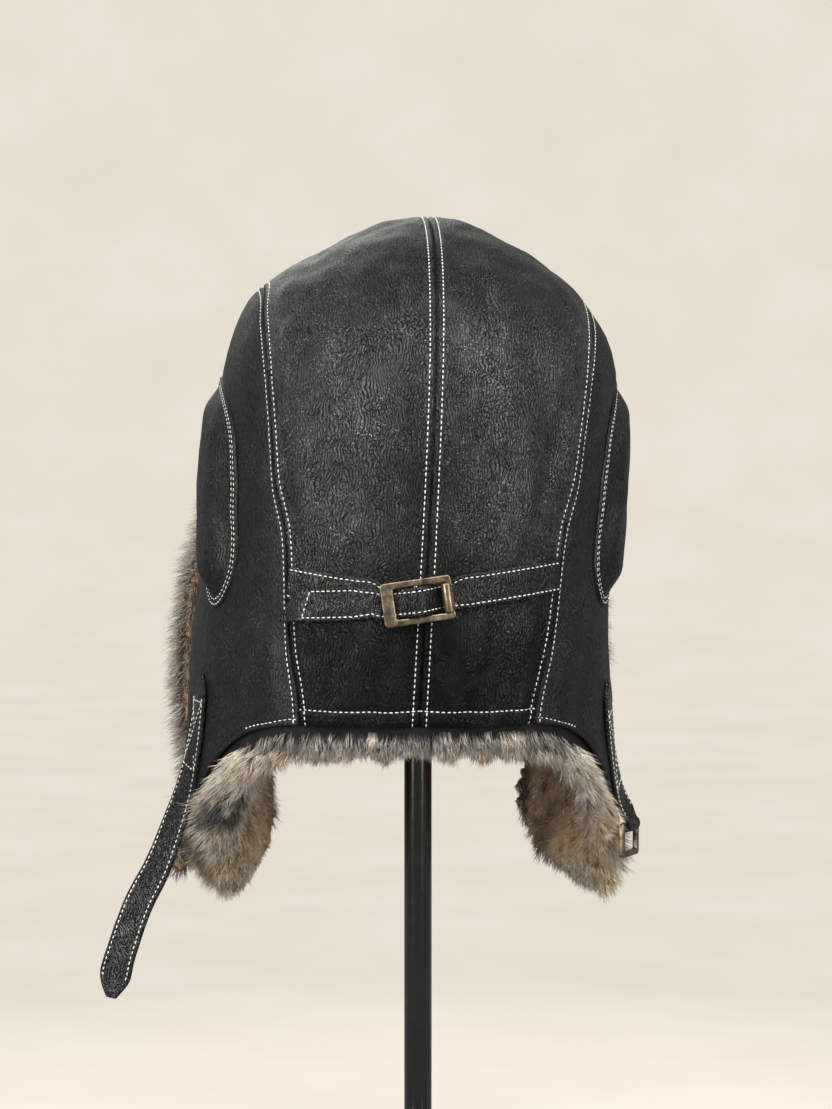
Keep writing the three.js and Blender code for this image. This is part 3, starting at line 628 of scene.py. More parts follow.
def sew(name, rows):
    """One mesh of stitches for rows of (line, normals), in the hat's frame."""
    points, faces = [], []
    base = 0
    for row in rows:
        for centre, way, up in zip(*stitch_places(*row)):
            side = unit(np.cross(up, way))
            up = np.cross(way, side)
            lean = MESSY.normal(0, 0.05)
            way2 = unit(way + side * lean)
            side2 = np.cross(up, way2)
            size = 1 + MESSY.normal(0, 0.05)
            p = STITCH_POINTS * size
            points.append(centre + up * 0.1 + p[:, :1] * side2 + p[:, 1:2] * up + p[:, 2:] * way2)
            faces += [tuple(i + base for i in face) for face in STITCH_FACES]
            base += len(p)
    piece = meshed(name, to_world(np.concatenate(points)), faces)
    only(piece)
    bpy.ops.object.shade_smooth()
    dress(piece, THREAD)


# Seams and edges as lines on the skin


def seam_top(side):
    """The depth at which one side seam passes over the hat's side."""
    low, high = 20.0, 60.0
    for _ in range(40):
        mid = (low + high) / 2
        half = float(section(mid, True, side > 0)[0])
        if half < float(column(SEAM_LINE, 1, mid / HAT_HEIGHT)) * HAT_HALF_WIDTH:
            low = mid
        else:
            high = mid
    return high


HEM_DEPTH, BROW_DEPTH = 0.749 * HAT_HEIGHT, 0.301 * HAT_HEIGHT


def seam_off(depth):
    return column(SEAM_LINE, 1, np.asarray(depth, float) / HAT_HEIGHT) * HAT_HALF_WIDTH


def centre_line(behind):
    t = np.linspace(0, 1, 900)
    depth = (HEM_DEPTH if behind else BROW_DEPTH) * t ** 2 + 0.02
    return skin_from_back(0 * depth, depth, behind)


def side_line(side, behind, last):
    t = np.linspace(0, 1, 900)
    top = seam_top(side)
    depth = top + (last - top) * t ** 2
    half = section(depth, behind, side > 0)[0]
    off = np.minimum(seam_off(depth), half * 0.99999)
    line = skin_from_back(side * off, depth, behind)
    line[0, 1] = 0
    return line


EDGE = smooth_line(EDGE_OUTLINE, 60)
EDGE_Y, EDGE_DEPTH = along_y(EDGE[:, 0]), EDGE[:, 1] * HAT_HEIGHT


def edge_line(side):
    """The leather's edge on one side, from the side seam at the nape round the flap to the brow seam."""
    half, reach, power = section(EDGE_DEPTH, EDGE_Y > 0, side > 0)
    inside = np.abs(EDGE_Y) < reach
    off = np.zeros_like(half)
    share = np.abs(EDGE_Y[inside]) / reach[inside]
    off[inside] = half[inside] * (1 - share ** power[inside]) ** (1 / power[inside])
    keep = inside & (off > seam_off(EDGE_DEPTH))
    return skin_from_side(EDGE_Y[keep], EDGE_DEPTH[keep], side)


def full_side_line(side):
    edge = edge_line(side)
    back = side_line(side, True, -edge[0, 2])[::-1]
    front = side_line(side, False, -edge[-1, 2])
    return back, front


# Leather panels

NEAR_SEAM = np.array([0, 0.6, 1.2, 1.8, 2.4, 3.0, 3.6, 4.4, 5.6, 7.4, 10.0])
ROWS_BACK, ROWS_FRONT, COLS_MIDDLE = 104, 62, 34


def ripple(p, seed, scale, tall=1.0, waves=7):
    """A smooth random height over space, between about -1 and 1."""
    rng = np.random.default_rng(seed)
    total = np.zeros(p.shape[:-1])
    for _ in range(waves):
        way = rng.normal(size=3)
        way[2] /= tall
        way *= (2 * math.pi / scale) * rng.uniform(0.7, 1.4) / np.linalg.norm(way)
        total += np.sin(p @ way + rng.uniform(0, 6.28))
    return total / math.sqrt(waves)


def rise(x, a, b):
    t = np.clip((x - a) / (b - a), 0, 1)
    return t * t * (3 - 2 * t)


def seam_relief(d, groove, puff):
    """Height of sewn leather at a distance from its seam: a sunk fold, a sewn row and a soft rise."""
    fold = -groove * (1 - rise(d, 0, 1.1))
    sewn = -0.42 * np.exp(-((d - SEAM_ROW) / 0.75) ** 2)
    return fold + sewn + puff * rise(d, 3.4, 15.0)


def edge_relief(d, row=EDGE_ROW):
    """Height of leather at a distance from its edge: a rolled rim, a band and a sewn row."""
    roll = -0.9 * (1 - rise(d, 0, 1.6))
    sewn = -0.45 * np.exp(-((d - row) / 0.8) ** 2)
    band = 0.45 * (1 - rise(d, row - 1.2, row + 0.8))
    return roll + sewn + band


def spread(lengths, middle):
    """Distances along cross lines: close together by both ends, even between."""
    rows = []
    for length in lengths:
        near = NEAR_SEAM * min(1.0, length / (2 * NEAR_SEAM[-1] + 8.0))
        inner = np.linspace(near[-1], length - near[-1], middle + 2)[1:-1]
        rows.append(np.concatenate([near, inner, length - near[::-1]]))
    return np.array(rows)


def cross_grid(dense):
    """Rows of dense points laid out again at the spread distances. Also gives each point's distances."""
    lengths = np.linalg.norm(np.diff(dense, axis=1), axis=2)
    at = np.concatenate([np.zeros((len(dense), 1)), np.cumsum(lengths, axis=1)], axis=1)
    want = spread(at[:, -1], COLS_MIDDLE)
    grid = np.stack([
        np.column_stack([np.interp(want[i], at[i], dense[i, :, k]) for k in range(3)])
        for i in range(len(dense))])
    return grid, want, at[:, -1:] - want


def down_rows(grid):
    """Distance of each grid point from the first row, along its column."""
    steps = np.linalg.norm(np.diff(grid, axis=0), axis=2)
    return np.concatenate([np.zeros((1, grid.shape[1])), np.cumsum(steps, axis=0)])


HEM_ROWS = np.array([0, 0.8, 1.6, 3.0, 4.6, 5.6, 6.4, 7.0, 7.6, 8.4, 9.6, 11.5, 14.0])


def seam_pair(line_back, line_front):
    """One line from the nape over the top to the brow, its rows close together at the hem."""
    at = walked(line_back)
    rest = np.linspace(HEM_ROWS[-1] / at[-1], 1, ROWS_BACK - len(HEM_ROWS) + 1)[1:] * at[-1]
    want = np.concatenate([HEM_ROWS, rest])
    back = np.column_stack([np.interp(want, at, line_back[:, k]) for k in range(3)])
    return np.concatenate([back, evenly(line_front, ROWS_FRONT)[1:]])


def crown_panel(side):
    centre = seam_pair(centre_line(True)[::-1], centre_line(False))
    seam = seam_pair(*full_side_line(side))
    t = np.linspace(0, 1, 90)[None, :, None]
    dense = settle(centre[:, None, :] * (1 - t) + seam[:, None, :] * t)
    grid, from_centre, from_seam = cross_grid(dense)
    grid = settle(grid, 4)
    from_hem = down_rows(grid)
    from_brow = down_rows(grid[::-1])[::-1]
    depth = -grid[..., 2]
    quiet = rise(from_centre, 2, 12) * rise(from_seam, 2, 12)
    puff = 1.3 * (0.25 + 1.0 * rise(depth, 4, 70))
    height = np.minimum(seam_relief(from_centre, 1.4, puff), seam_relief(from_seam, 1.5, puff))
    height = height + edge_relief(from_hem) + edge_relief(from_brow, 40)
    tall_folds = ripple(grid, 11, 25, tall=4.0) * 0.75 + ripple(grid, 12, 12, tall=3.0) * 0.25
    soft_dents = ripple(grid, 13, 38, tall=1.4) * 0.7
    lower = rise(depth, 40, 150)
    height += quiet * (tall_folds * (0.45 + 1.0 * lower) + soft_dents * 0.7)
    height += ripple(grid, 14, 6, tall=2.0) * 0.1 * (0.4 + 0.6 * lower)
    # the back strap draws the leather in a little under it
    from_strap, behind = depth - BACK_STRAP_DEPTH, grid[..., 1] > 0
    height -= 0.6 * np.exp(-(from_strap / 12) ** 2) * behind * quiet
    height -= np.maximum(height - 0.1, 0) * np.exp(-(from_strap / 14) ** 2) * behind
    normals = normal_at(grid)
    surface = grid + normals * height[..., None]
    return surface, normals, from_centre, from_seam, from_hem


def side_panel(side):
    seam = seam_pair(*full_side_line(side))
    edge = evenly(edge_line(side), len(seam))

    def angles(p):
        half, reach, power = section(-p[:, 2], p[:, 1] > 0, side > 0)
        s = np.minimum(np.abs(p[:, 0] - middle_at(-p[:, 2])) / half, 1) ** (power / 2)
        c = np.sign(p[:, 1]) * np.minimum(np.abs(p[:, 1]) / reach, 1) ** (power / 2)
        return np.arctan2(s, c)

    a0, a1 = angles(seam), angles(edge)
    t = np.linspace(0, 1, 90)[None, :]
    angle = a0[:, None] * (1 - t) + a1[:, None] * t
    depth = -(seam[:, 2, None] * (1 - t) + edge[:, 2, None] * t)
    half, reach, power = section(depth, np.cos(angle) > 0, side > 0)
    x = middle_at(depth) + side * half * np.abs(np.sin(angle)) ** (2 / power)
    y = reach * np.sign(np.cos(angle)) * np.abs(np.cos(angle)) ** (2 / power)
    dense = np.stack([x, y, -depth], axis=-1)
    grid, from_seam, from_edge = cross_grid(dense)
    grid = settle(grid, 3)
    depth = -grid[..., 2]
    quiet = rise(from_seam, 2, 14) * rise(from_edge, 4, 16)
    height = seam_relief(from_seam, 1.8, 0.9) + edge_relief(from_edge)
    height += quiet * (ripple(grid, 21, 42, tall=2.0) * 0.45 + ripple(grid, 22, 17, tall=2.5) * 0.16)
    # the panel lies flat under its ear patch
    y_c, d_c = float(along_y(PATCH_CENTRE[0])), PATCH_CENTRE[1] * HAT_HEIGHT
    under = np.exp(-(((grid[..., 1] - y_c) / 42) ** 4 + ((depth - d_c) / 50) ** 4))
    height = height * (1 - under) + np.minimum(height, -0.1) * under
    normals = normal_at(grid)
    return grid + normals * height[..., None], normals, from_seam, from_edge


def leather_piece(name, surface, finish, node):
    """A panel's wall, from its outer surface inwards."""
    piece = grid_piece(name, surface)
    finish_mesh(piece, merge=0.00006, outwards=False)
    inside_hat = np.array([0, 0, 0.3])
    if ((get_points(piece) - inside_hat) * get_normals(piece)).sum() < 0:
        edit_all(piece)
        bpy.ops.mesh.flip_normals()
        leave_edit()
    apply_modifier(piece, "SOLIDIFY", thickness=LEATHER * MM, offset=-1, use_even_offset=False)
    smooth(piece, 60)
    dress(piece, finish, "hat", (node,))


def row_line(surface, normals, distance, at):
    """The line on a panel at one distance from a seam, through its rows."""
    points, ways = [], []
    for i in range(len(surface)):
        if distance[i].max() < at or distance[i].min() > at:
            continue
        order = np.argsort(distance[i])
        d = distance[i][order]
        points.append([np.interp(at, d, surface[i, order, k]) for k in range(3)])
        ways.append([np.interp(at, d, normals[i, order, k]) for k in range(3)])
    return np.array(points), unit(np.array(ways))


def column_line(surface, normals, from_hem, at):
    """The line on a panel at one distance from its hem, through its columns."""
    points, ways = [], []
    for j in range(surface.shape[1]):
        d = from_hem[:, j]
        points.append([np.interp(at, d, surface[:, j, k]) for k in range(3)])
        ways.append([np.interp(at, d, normals[:, j, k]) for k in range(3)])
    return np.array(points), unit(np.array(ways))


seam_rows, hem_rows = [], []
for side, word in SIDES:
    surface, normals, from_centre, from_seam, from_hem = crown_panel(side)
    leather_piece(f"crown_leather_{word}", surface, CROWN_LEATHER, f"crown_panel_{word}")
    seam_rows.append(row_line(surface, normals, from_centre, SEAM_ROW))
    seam_rows.append(row_line(surface, normals, from_seam, SEAM_ROW))
    hem_rows.append(column_line(surface, normals, from_hem, EDGE_ROW))
    surface, normals, from_seam, from_edge = side_panel(side)
    leather_piece(f"side_leather_{word}", surface, SIDE_LEATHER, f"side_panel_{word}")
    seam_rows.append(row_line(surface, normals, from_seam, SEAM_ROW))
    # the hem's sewn row goes on a little way along the flap
    line, ways = row_line(surface, normals, from_edge, EDGE_ROW)
    near = walked(line) < 30
    hem_rows.append((line[near], ways[near]))
sew("seam_stitches", seam_rows)
sew("hem_stitches", hem_rows)


# Ear patches


def patch_outline():
    dense = smooth_line(PATCH_OUTLINE, 40, closed=True)
    flat = np.column_stack([along_y(dense[:, 0]), dense[:, 1] * HAT_HEIGHT])
    ring = evenly(np.vstack([flat, flat[:1]]), 121)[:-1]
    return ring, np.array([float(along_y(PATCH_CENTRE[0])), PATCH_CENTRE[1] * HAT_HEIGHT])


def on_patch(ring, centre, inset, side, height):
    """The outline drawn in by a distance, on the skin at a height."""
    way = unit(centre - ring)
    flat = ring + way * inset
    base = skin_from_side(flat[:, 0], flat[:, 1], side)
    return base + normal_at(base) * (np.zeros(len(ring)) + height)[:, None], normal_at(base)


PATCH_INSETS = [0, 0.5, 1.0, 1.6, 2.1, 2.6, 3.4, 4.2, 4.7, 5.2, 6.0, 7.4, 9.5, 12.5, 16, 20]


def patch_height(inset):
    """Height of a patch at a distance from its edge: a flange with two sewn rows and a dome."""
    edge = PATCH_FLANGE * rise(inset, -0.2, 1.2)
    outer, inner = PATCH_ROWS
    sewn = -0.4 * np.exp(-((inset - outer) / 0.6) ** 2) - 0.5 * np.exp(-((inset - inner) / 0.6) ** 2)
    return edge + sewn + PATCH_DOME * rise(inset, 4.5, 17.0)


def ear_patch(side, word):
    """One padded patch. Gives its sewn rows."""
    ring, centre = patch_outline()
    rows = []
    for inset in PATCH_INSETS:
        rows.append(on_patch(ring, centre, inset, side, CLEARANCE + patch_height(inset))[0])
    inner_ring = ring + unit(centre - ring) * PATCH_INSETS[-1]
    for share in (0.8, 0.6, 0.4, 0.2):
        flat = centre + (inner_ring - centre) * share
        base = skin_from_side(flat[:, 0], flat[:, 1], side)
        height = CLEARANCE + 7.3 + 0.7 * (1 - share)
        rows.append(base + normal_at(base) * height)
    top = skin_from_side(centre[0], centre[1], side)
    peak = top + normal_at(top) * (CLEARANCE + PATCH_THICK)
    floor = [on_patch(ring, centre, inset, side, CLEARANCE)[0] for inset in (0.4, 8, 16)]
    floor_mid = top + normal_at(top) * CLEARANCE
    rings = floor[::-1] + rows
    count = len(ring)
    points = [floor_mid] + [p for r in rings for p in r] + [peak]
    faces = []
    for k in range(count):
        n = (k + 1) % count
        faces.append((0, 1 + n, 1 + k))
        for r in range(len(rings) - 1):
            a = 1 + r * count
            faces.append((a + k, a + n, a + count + n, a + count + k))
        last = 1 + (len(rings) - 1) * count
        faces.append((last + k, last + n, len(points) - 1))
    piece = meshed(f"ear_patch_pad_{word}", to_world(points), faces)
    finish_mesh(piece, 0.00001)
    # the sewn flange and the underside stay put, and the middle fills out
    ring_index = np.concatenate([[0], np.repeat(np.arange(len(rings)), count), [len(rings)]])
    free = ring_index >= len(floor) + 10
    fill_pad(piece, free, 4.0, 2.6)
    filled = hat_points(piece)
    push = ripple(filled, 31 + side, 15, 1.5) * 0.22 * free
    set_points(piece, to_world(filled + get_normals(piece) * push[:, None]))
    apply_modifier(piece, "SUBSURF", levels=1, render_levels=1)
    smooth(piece, 60)
    dress(piece, PATCH_LEATHER, "hat", (f"ear_patch_{word}",))
    lines = []
    for inset in PATCH_ROWS:
        line, ways = on_patch(ring, centre, inset, side, CLEARANCE + float(patch_height(inset)) + 0.05)
        closed = np.vstack([line, line[:1]])
        lines.append((closed, np.vstack([ways, ways[:1]])))
    return lines


def fill_pad(piece, free, pressure, cap):
    """Cloth pressure fills the padded middle, and no point moves by more than the cap."""
    start = get_points(piece)
    group = piece.vertex_groups.new(name="sewn_down")
    group.add([int(i) for i in np.nonzero(~free)[0]], 1.0, "REPLACE")
    only(piece)
    modifier = piece.modifiers.new("Cloth", "CLOTH")
    cloth = modifier.settings
    cloth.quality = 6
    cloth.mass = 0.3
    cloth.tension_stiffness = cloth.compression_stiffness = 12
    cloth.bending_stiffness = 0.4
    cloth.use_pressure = True
    cloth.uniform_pressure_force = pressure
    cloth.vertex_group_mass = "sewn_down"
    cloth.effector_weights.gravity = 0
    modifier.collision_settings.use_collision = False
    scene = bpy.context.scene
    for step in range(1, 21):
        scene.frame_set(step)
    bpy.ops.object.modifier_apply(modifier=modifier.name)
    scene.frame_set(1)
    piece.vertex_groups.clear()
    move = get_points(piece) - start
    length = np.linalg.norm(move, axis=1, keepdims=True)
    limit = cap * MM
    set_points(piece, start + move * np.minimum(1, limit / np.maximum(length, 1e-9)) * free[:, None])


patch_rows = []
for side, word in SIDES:
    patch_rows += ear_patch(side, word)
sew("patch_stitches", patch_rows)


# Straps


def band_stations(rows):
    """Smooth stations from rough ones: each is centre, face, width, slant in one row of numbers."""
    return smooth_line(np.array(rows, float), 6)


def band_frames(stations):
    centre, face = stations[:, :3], unit(stations[:, 3:6])
    along = unit(np.gradient(centre, axis=0))
    up = unit(np.cross(along, face))
    out = unit(np.cross(up, along))
    return centre, along, up, out, stations[:, 6], stations[:, 7]


HALF_SHARES = [0.4, 0.68, 0.76, 0.86, 0.94, 0.985, 1]
ACROSS_SHARES = np.array([-share for share in HALF_SHARES[::-1]] + [0] + HALF_SHARES)


def band_section(thickness, width):
    """A strap's cross-section: round edges, a shallow dip along each sewn row and a soft middle."""
    half, round_edge = width / 2, thickness / 2
    x = ACROSS_SHARES * half
    edge = np.sqrt(np.clip(1 - ((np.abs(x) - (half - round_edge)) / round_edge).clip(0) ** 2, 0, 1))
    dip = 0.16 * np.exp(-((np.abs(x) - (half - STRAP_ROW)) / 0.7) ** 2)
    soft = 0.12 * (1 - (x / half) ** 2)
    top = round_edge * edge - dip + soft
    bottom = -round_edge * edge
    return np.column_stack([np.concatenate([x, x[-2:0:-1]]), np.concatenate([top, bottom[-2:0:-1]])])


def strap_piece(name, stations, thickness, node, seed):
    """A strap swept through its stations, lightly creased on top and closed at its ends."""
    centre, along, up, out, width, slant = band_frames(stations)
    rings = []
    for i in range(len(centre)):
        shape = band_section(thickness, width[i])
        u = shape[:, :1]
        slid = along[i] * slant[i] * (u / (width[i] / 2))
        rings.append(centre[i] + up[i] * u + slid + out[i] * shape[:, 1:])
    rings = np.array(rings)
    wave = ripple(rings, seed, 8, 1.0) * 0.16
    top = np.linspace(0, 1, rings.shape[1])[None, :] < 0.5
    rings = rings + out[:, None, :] * (wave * top * 0.5)[..., None]
    closed = np.concatenate([rings, rings[:, :1]], axis=1)
    piece = grid_piece(name, closed)
    finish_mesh(piece, 0.000005, outwards=False)
    edit_all(piece)
    bpy.ops.mesh.select_all(action="DESELECT")
    bpy.ops.mesh.select_mode(type="EDGE")
    bpy.ops.mesh.select_non_manifold()
    bpy.ops.mesh.fill_holes(sides=0)
    bpy.ops.mesh.select_all(action="SELECT")
    bpy.ops.mesh.normals_make_consistent(inside=False)
    bpy.ops.mesh.select_mode(type="VERT")
    leave_edit()
    smooth(piece, 50)
    dress(piece, STRAP_LEATHER, "hat", (node,))


def band_rows(stations, thickness, start=0, stop=None):
    """Both sewn rows of a strap, as lines with their normals."""
    centre, along, up, out, width, slant = band_frames(stations)
    rows = []
    for way in (1, -1):
        u = way * (width / 2 - STRAP_ROW)
        slid = along * (slant * (u / (width / 2)))[:, None]
        line = centre + up * u[:, None] + slid + out * (thickness / 2 - 0.05)
        rows.append((line[start:stop], out[start:stop]))
    return rows


def station(centre, face, width, slant=0.0):
    return [*centre, *face, width, slant]


def on_back(rows, height):
    """Stations of a band on the back; rows of (side, drop, width, slant)."""
    rows = np.array(rows, float)
    at = np.linspace(0, len(rows) - 1, (len(rows) - 1) * 4 + 1)
    side, drop, width, slant = (np.interp(at, np.arange(len(rows)), rows[:, k]) for k in range(4))
    skin = skin_from_back(side * HAT_HALF_WIDTH, drop * HAT_HEIGHT)
    normals = normal_at(skin)
    centres = skin + normals * (height + STRAP_THICK / 2)
    return [station(c, n, w, s) for c, n, w, s in zip(centres, normals, width, slant)]


FRAME_SIDE, FRAME_DROP, FRAME_TILT = 0.04, 0.564, math.radians(8)
SEAT = skin_from_back(FRAME_SIDE * HAT_HALF_WIDTH, FRAME_DROP * HAT_HEIGHT)
FRAME_OUT = unit(normal_at(SEAT) * (1, 1, 0))
level = np.cross(FRAME_OUT, (0, 0, 1))
FRAME_ALONG = level * math.cos(FRAME_TILT) + np.cross(FRAME_OUT, level) * math.sin(FRAME_TILT)
FRAME_UP = np.cross(FRAME_ALONG, FRAME_OUT)
ON_PANEL = CLEARANCE + BAND_REST
ON_BASE = 2 * CLEARANCE + STRAP_THICK
OVER_BASE = ON_BASE + 2 * BAND_REST
FRAME_LIFT = ON_BASE + STRAP_THICK + CLEARANCE
BAR_LIFT = FRAME_LIFT + FRAME_THICK / 2
WRAP = CENTRE_BAR + CLEARANCE + STRAP_THICK / 2
OVER_WRAP = BAR_LIFT + WRAP + STRAP_THICK / 2 + CLEARANCE
HALF_FRAME = FRAME_LENGTH / 2


def in_frame(along, height):
    """A place by the back buckle: along it and out from its seat."""
    return SEAT + FRAME_ALONG * along + FRAME_OUT * height


def by_buckle(shares, height):
    """Stations by the back buckle at shares of its half-length, at a height over the panel."""
    rows = []
    for share in shares:
        along = share * HALF_FRAME
        under = skin_from_back(FRAME_SIDE * HAT_HALF_WIDTH + along, FRAME_DROP * HAT_HEIGHT)
        fall = float((under - SEAT) @ FRAME_OUT)
        rows.append(station(in_frame(along, fall + height + STRAP_THICK / 2), FRAME_OUT, STRAP_IN_FRAME))
    return rows


left_back = on_back([
    (0.6, 0.541, STRAP_WIDTH, 0), (0.42, 0.55, STRAP_WIDTH, 0), (0.25, 0.557, STRAP_WIDTH, 0)], ON_PANEL)
left_back += by_buckle((0.95, 0.6), ON_PANEL)
for i in range(8):
    turn = math.radians(-70 - 230 * i / 7)
    radial = FRAME_ALONG * math.cos(turn) + FRAME_OUT * math.sin(turn)
    left_back.append(station(in_frame(0, BAR_LIFT) + radial * WRAP, -radial, STRAP_IN_FRAME))

right_back = on_back([
    (-0.6, 0.533, STRAP_WIDTH, 0), (-0.4, 0.541, STRAP_WIDTH, 0), (-0.17, 0.551, STRAP_WIDTH, 0)], ON_PANEL)
right_back += by_buckle((-0.95, -0.6), ON_PANEL)
for share, sink in ((-0.27, 2.2), (-0.11, 0), (0.11, 0), (0.27, 2.2)):
    height = OVER_WRAP - sink + STRAP_THICK / 2
    right_back.append(station(in_frame(share * HALF_FRAME, height), FRAME_OUT, STRAP_IN_FRAME))
right_back += by_buckle((0.62, 0.98), OVER_BASE)
right_back += on_back([
    (0.23, 0.567, STRAP_IN_FRAME, 0), (0.32, 0.568, STRAP_WIDTH, 0), (0.59, 0.573, STRAP_WIDTH, -4.2),
], OVER_BASE)

# along and drop in the side view, distance off the skin, twist in degrees and width
LEFT_CHIN = [
    (0.335, 0.688, 0, 0, 4), (0.33, 0.712, 0, 0, 15), (0.325, 0.75, 0, 0, 15), (0.3, 0.8, 1, 6, 15),
    (0.26, 0.86, 3, 16, 15), (0.22, 0.92, 6.5, 30, 15), (0.2, 0.985, 11.5, 40, 15), (0.18, 1.047, 19, 48, 15),
    (0.17, 1.12, 25, 54, 15), (0.16, 1.16, 27, 56, 15), (0.158, 1.19, 28, 56, 5)]
RIGHT_CHIN = [
    (0.335, 0.7, 0, 0, 4), (0.33, 0.725, 0, 0, 15), (0.3, 0.78, 0, 0, 15), (0.25, 0.84, 0.6, 3, 15),
    (0.2, 0.885, 2, 10, 15), (0.17, 0.915, 4.6, 20, 12)]


def chin_stations(path, side):
    rows = []
    for along, drop, away, twist, width in path:
        skin = skin_from_side(float(along_y(along)), drop * HAT_HEIGHT, side)
        normal = normal_at(skin)
        turn = Matrix.Rotation(side * math.radians(twist), 3, "Z")
        face = np.array(turn @ Vector(normal))
        rows.append(station(skin + normal * (ON_PANEL + CHIN_THICK / 2 + away), face, width))
    return rows


left_chin = chin_stations(LEFT_CHIN, 1)
right_chin = chin_stations(RIGHT_CHIN, -1)
END_CENTRE, END_FACE = np.array(right_chin[-1][:3]), np.array(right_chin[-1][3:6])
BAR_WAY = unit(np.array([END_FACE[1], -END_FACE[0], 0]))
LOOP = CHIN_BAR + CLEARANCE + CHIN_THICK / 2
BAR_CENTRE = END_CENTRE + np.array([0, 0, -LOOP - CHIN_THICK])
LOOP_OUT = np.cross(BAR_WAY, (0, 0, 1))
if LOOP_OUT[0] > 0:
    LOOP_OUT = -LOOP_OUT
for i in range(8):
    turn = math.radians(60 - 250 * i / 7)
    radial = np.array([0, 0, math.sin(turn)]) + LOOP_OUT * math.cos(turn)
    right_chin.append(station(BAR_CENTRE + radial * LOOP, radial, CHIN_END_WIDTH))

strap_rows = []


def sewn_strap(name, rough, thickness, node, seed, start, stop):
    """A strap and its two sewn rows, from one place on its stations to another."""
    stations = band_stations(rough)
    strap_piece(name, stations, thickness, node, seed)
    rows = band_rows(stations, thickness, start, stop)
    strap_rows.extend(rows)
    return rows


def sew_across(start, end, up):
    strap_rows.append((np.linspace(start, end, 12), np.repeat(up[None], 12, axis=0)))


sewn_strap("back_strap_base", left_back, STRAP_THICK, "back_strap_left", 42, 0, 72)
tail_rows = sewn_strap("back_strap_tail", right_back, STRAP_THICK, "back_strap_right", 43, 0, -7)
sew_across(tail_rows[0][0][-1], tail_rows[1][0][-1], tail_rows[0][1][-1])
long_rows = sewn_strap("chin_strap_long", left_chin, CHIN_THICK, "chin_strap_left", 44, 8, -6)
short_rows = sewn_strap("chin_strap_short", right_chin, CHIN_THICK, "chin_strap_right", 45, 8, 30)
# a crossed box holds each chin strap to its flap
BOX_LOW, BOX_HIGH = 1, 13
for (a, up), (b, _) in (long_rows, short_rows):
    lift = up[BOX_LOW] * 0.12
    for p, q in ((a[BOX_LOW], b[BOX_LOW]), (a[BOX_HIGH], b[BOX_HIGH]),
                 (a[BOX_LOW], b[BOX_HIGH]), (b[BOX_LOW], a[BOX_HIGH])):
        sew_across(p + lift, q + lift, up[BOX_LOW])
sew("strap_stitches", strap_rows)


# Buckles


def plate(name, outline, hole, thickness, bevel):
    """A flat plate cut from an outline with a hole, filled, extruded and rounded over."""
    mesh = bpy.data.meshes.new(name)
    build = bmesh.new()
    edges = []
    for loop in (outline, hole):
        ring = [build.verts.new((x * MM, y * MM, -thickness / 2 * MM)) for x, y in loop]
        edges += [build.edges.new((ring[i], ring[(i + 1) % len(ring)])) for i in range(len(ring))]
    bmesh.ops.triangle_fill(build, edges=edges, use_beauty=True)
    build.to_mesh(mesh)
    build.free()
    piece = new_object(name, mesh)
    edit_all(piece)
    bpy.ops.mesh.dissolve_limited(angle_limit=0.01)
    bpy.ops.mesh.select_all(action="SELECT")
    bpy.ops.mesh.extrude_region_move(TRANSFORM_OT_translate={"value": (0, 0, thickness * MM)})
    bpy.ops.mesh.select_all(action="SELECT")
    bpy.ops.mesh.normals_make_consistent(inside=False)
    leave_edit()
    round_over(piece, bevel, 3, 40)
    return piece


def rounded(w, h, r, cx=0.0):
    """A rectangle's outline with round corners, anticlockwise from its lower right corner."""
    points = []
    for x, y, start in ((1, -1, -90), (1, 1, 0), (-1, 1, 90), (-1, -1, 180)):
        for i in range(6):
            a = math.radians(start + 90 * i / 5)
            points.append((cx + x * (w / 2 - r) + r * math.cos(a), y * (h / 2 - r) + r * math.sin(a)))
    return points


def rod(name, radius, length, bevel, sides=32):
    """A round bar along local y with rounded ends."""
    bpy.ops.object.select_all(action="DESELECT")
    bpy.ops.mesh.primitive_cylinder_add(vertices=sides, radius=radius * MM, depth=length * MM)
    piece = name_piece(name)
    edit_all(piece)
    bpy.ops.transform.rotate(value=math.pi / 2, orient_axis="X", center_override=(0, 0, 0))
    leave_edit()
    round_over(piece, bevel, 3, 40)
    return piece


def place(piece, x_way, y_way, z_way, at):
    """Puts a piece modelled at the origin in its place in the hat, in its mesh."""
    basis = Matrix([list(x_way), list(y_way), list(z_way)]).transposed().to_4x4()
    piece.data.transform(Matrix.Translation(Vector(to_world(at))) @ basis)
    piece.data.update()


def join(name, pieces):
    only(pieces[0])
    for p in pieces[1:]:
        p.select_set(True)
    bpy.ops.object.join()
    return name_piece(name)


def shift(piece, x, y=0.0, z=0.0):
    piece.data.transform(Matrix.Translation((x * MM, y * MM, z * MM)))


HOLE_W, HOLE_H = FRAME_LENGTH - 2 * SIDE_BAR, FRAME_HEIGHT - 2 * EDGE_BAR
THIN_BAR = 1.9
rim = rounded(FRAME_LENGTH, FRAME_HEIGHT, 1.8)
hole = rounded(HOLE_W + SIDE_BAR - THIN_BAR, HOLE_H, 0.8, cx=(THIN_BAR - SIDE_BAR) / 2)
body_plate = plate("buckle_body", rim, hole, FRAME_THICK, 0.5)
# a roller stands in for the frame's thick side bar
roller = rod("buckle_roller", 2.35, HOLE_H - 0.7, 0.5)
shift(roller, -(HALF_FRAME - 2.3), -0.25)
bar = rod("buckle_bar", CENTRE_BAR, FRAME_HEIGHT - EDGE_BAR, 0.1, 20)
buckle = join("back_buckle_brass", [body_plate, roller, bar])
place(buckle, FRAME_ALONG, FRAME_UP, -FRAME_OUT, in_frame(0, BAR_LIFT))
finish_mesh(buckle, 0.000001, outwards=False)
smooth(buckle, 35)
dress(buckle, BRASS, "hat", ("back_buckle",))

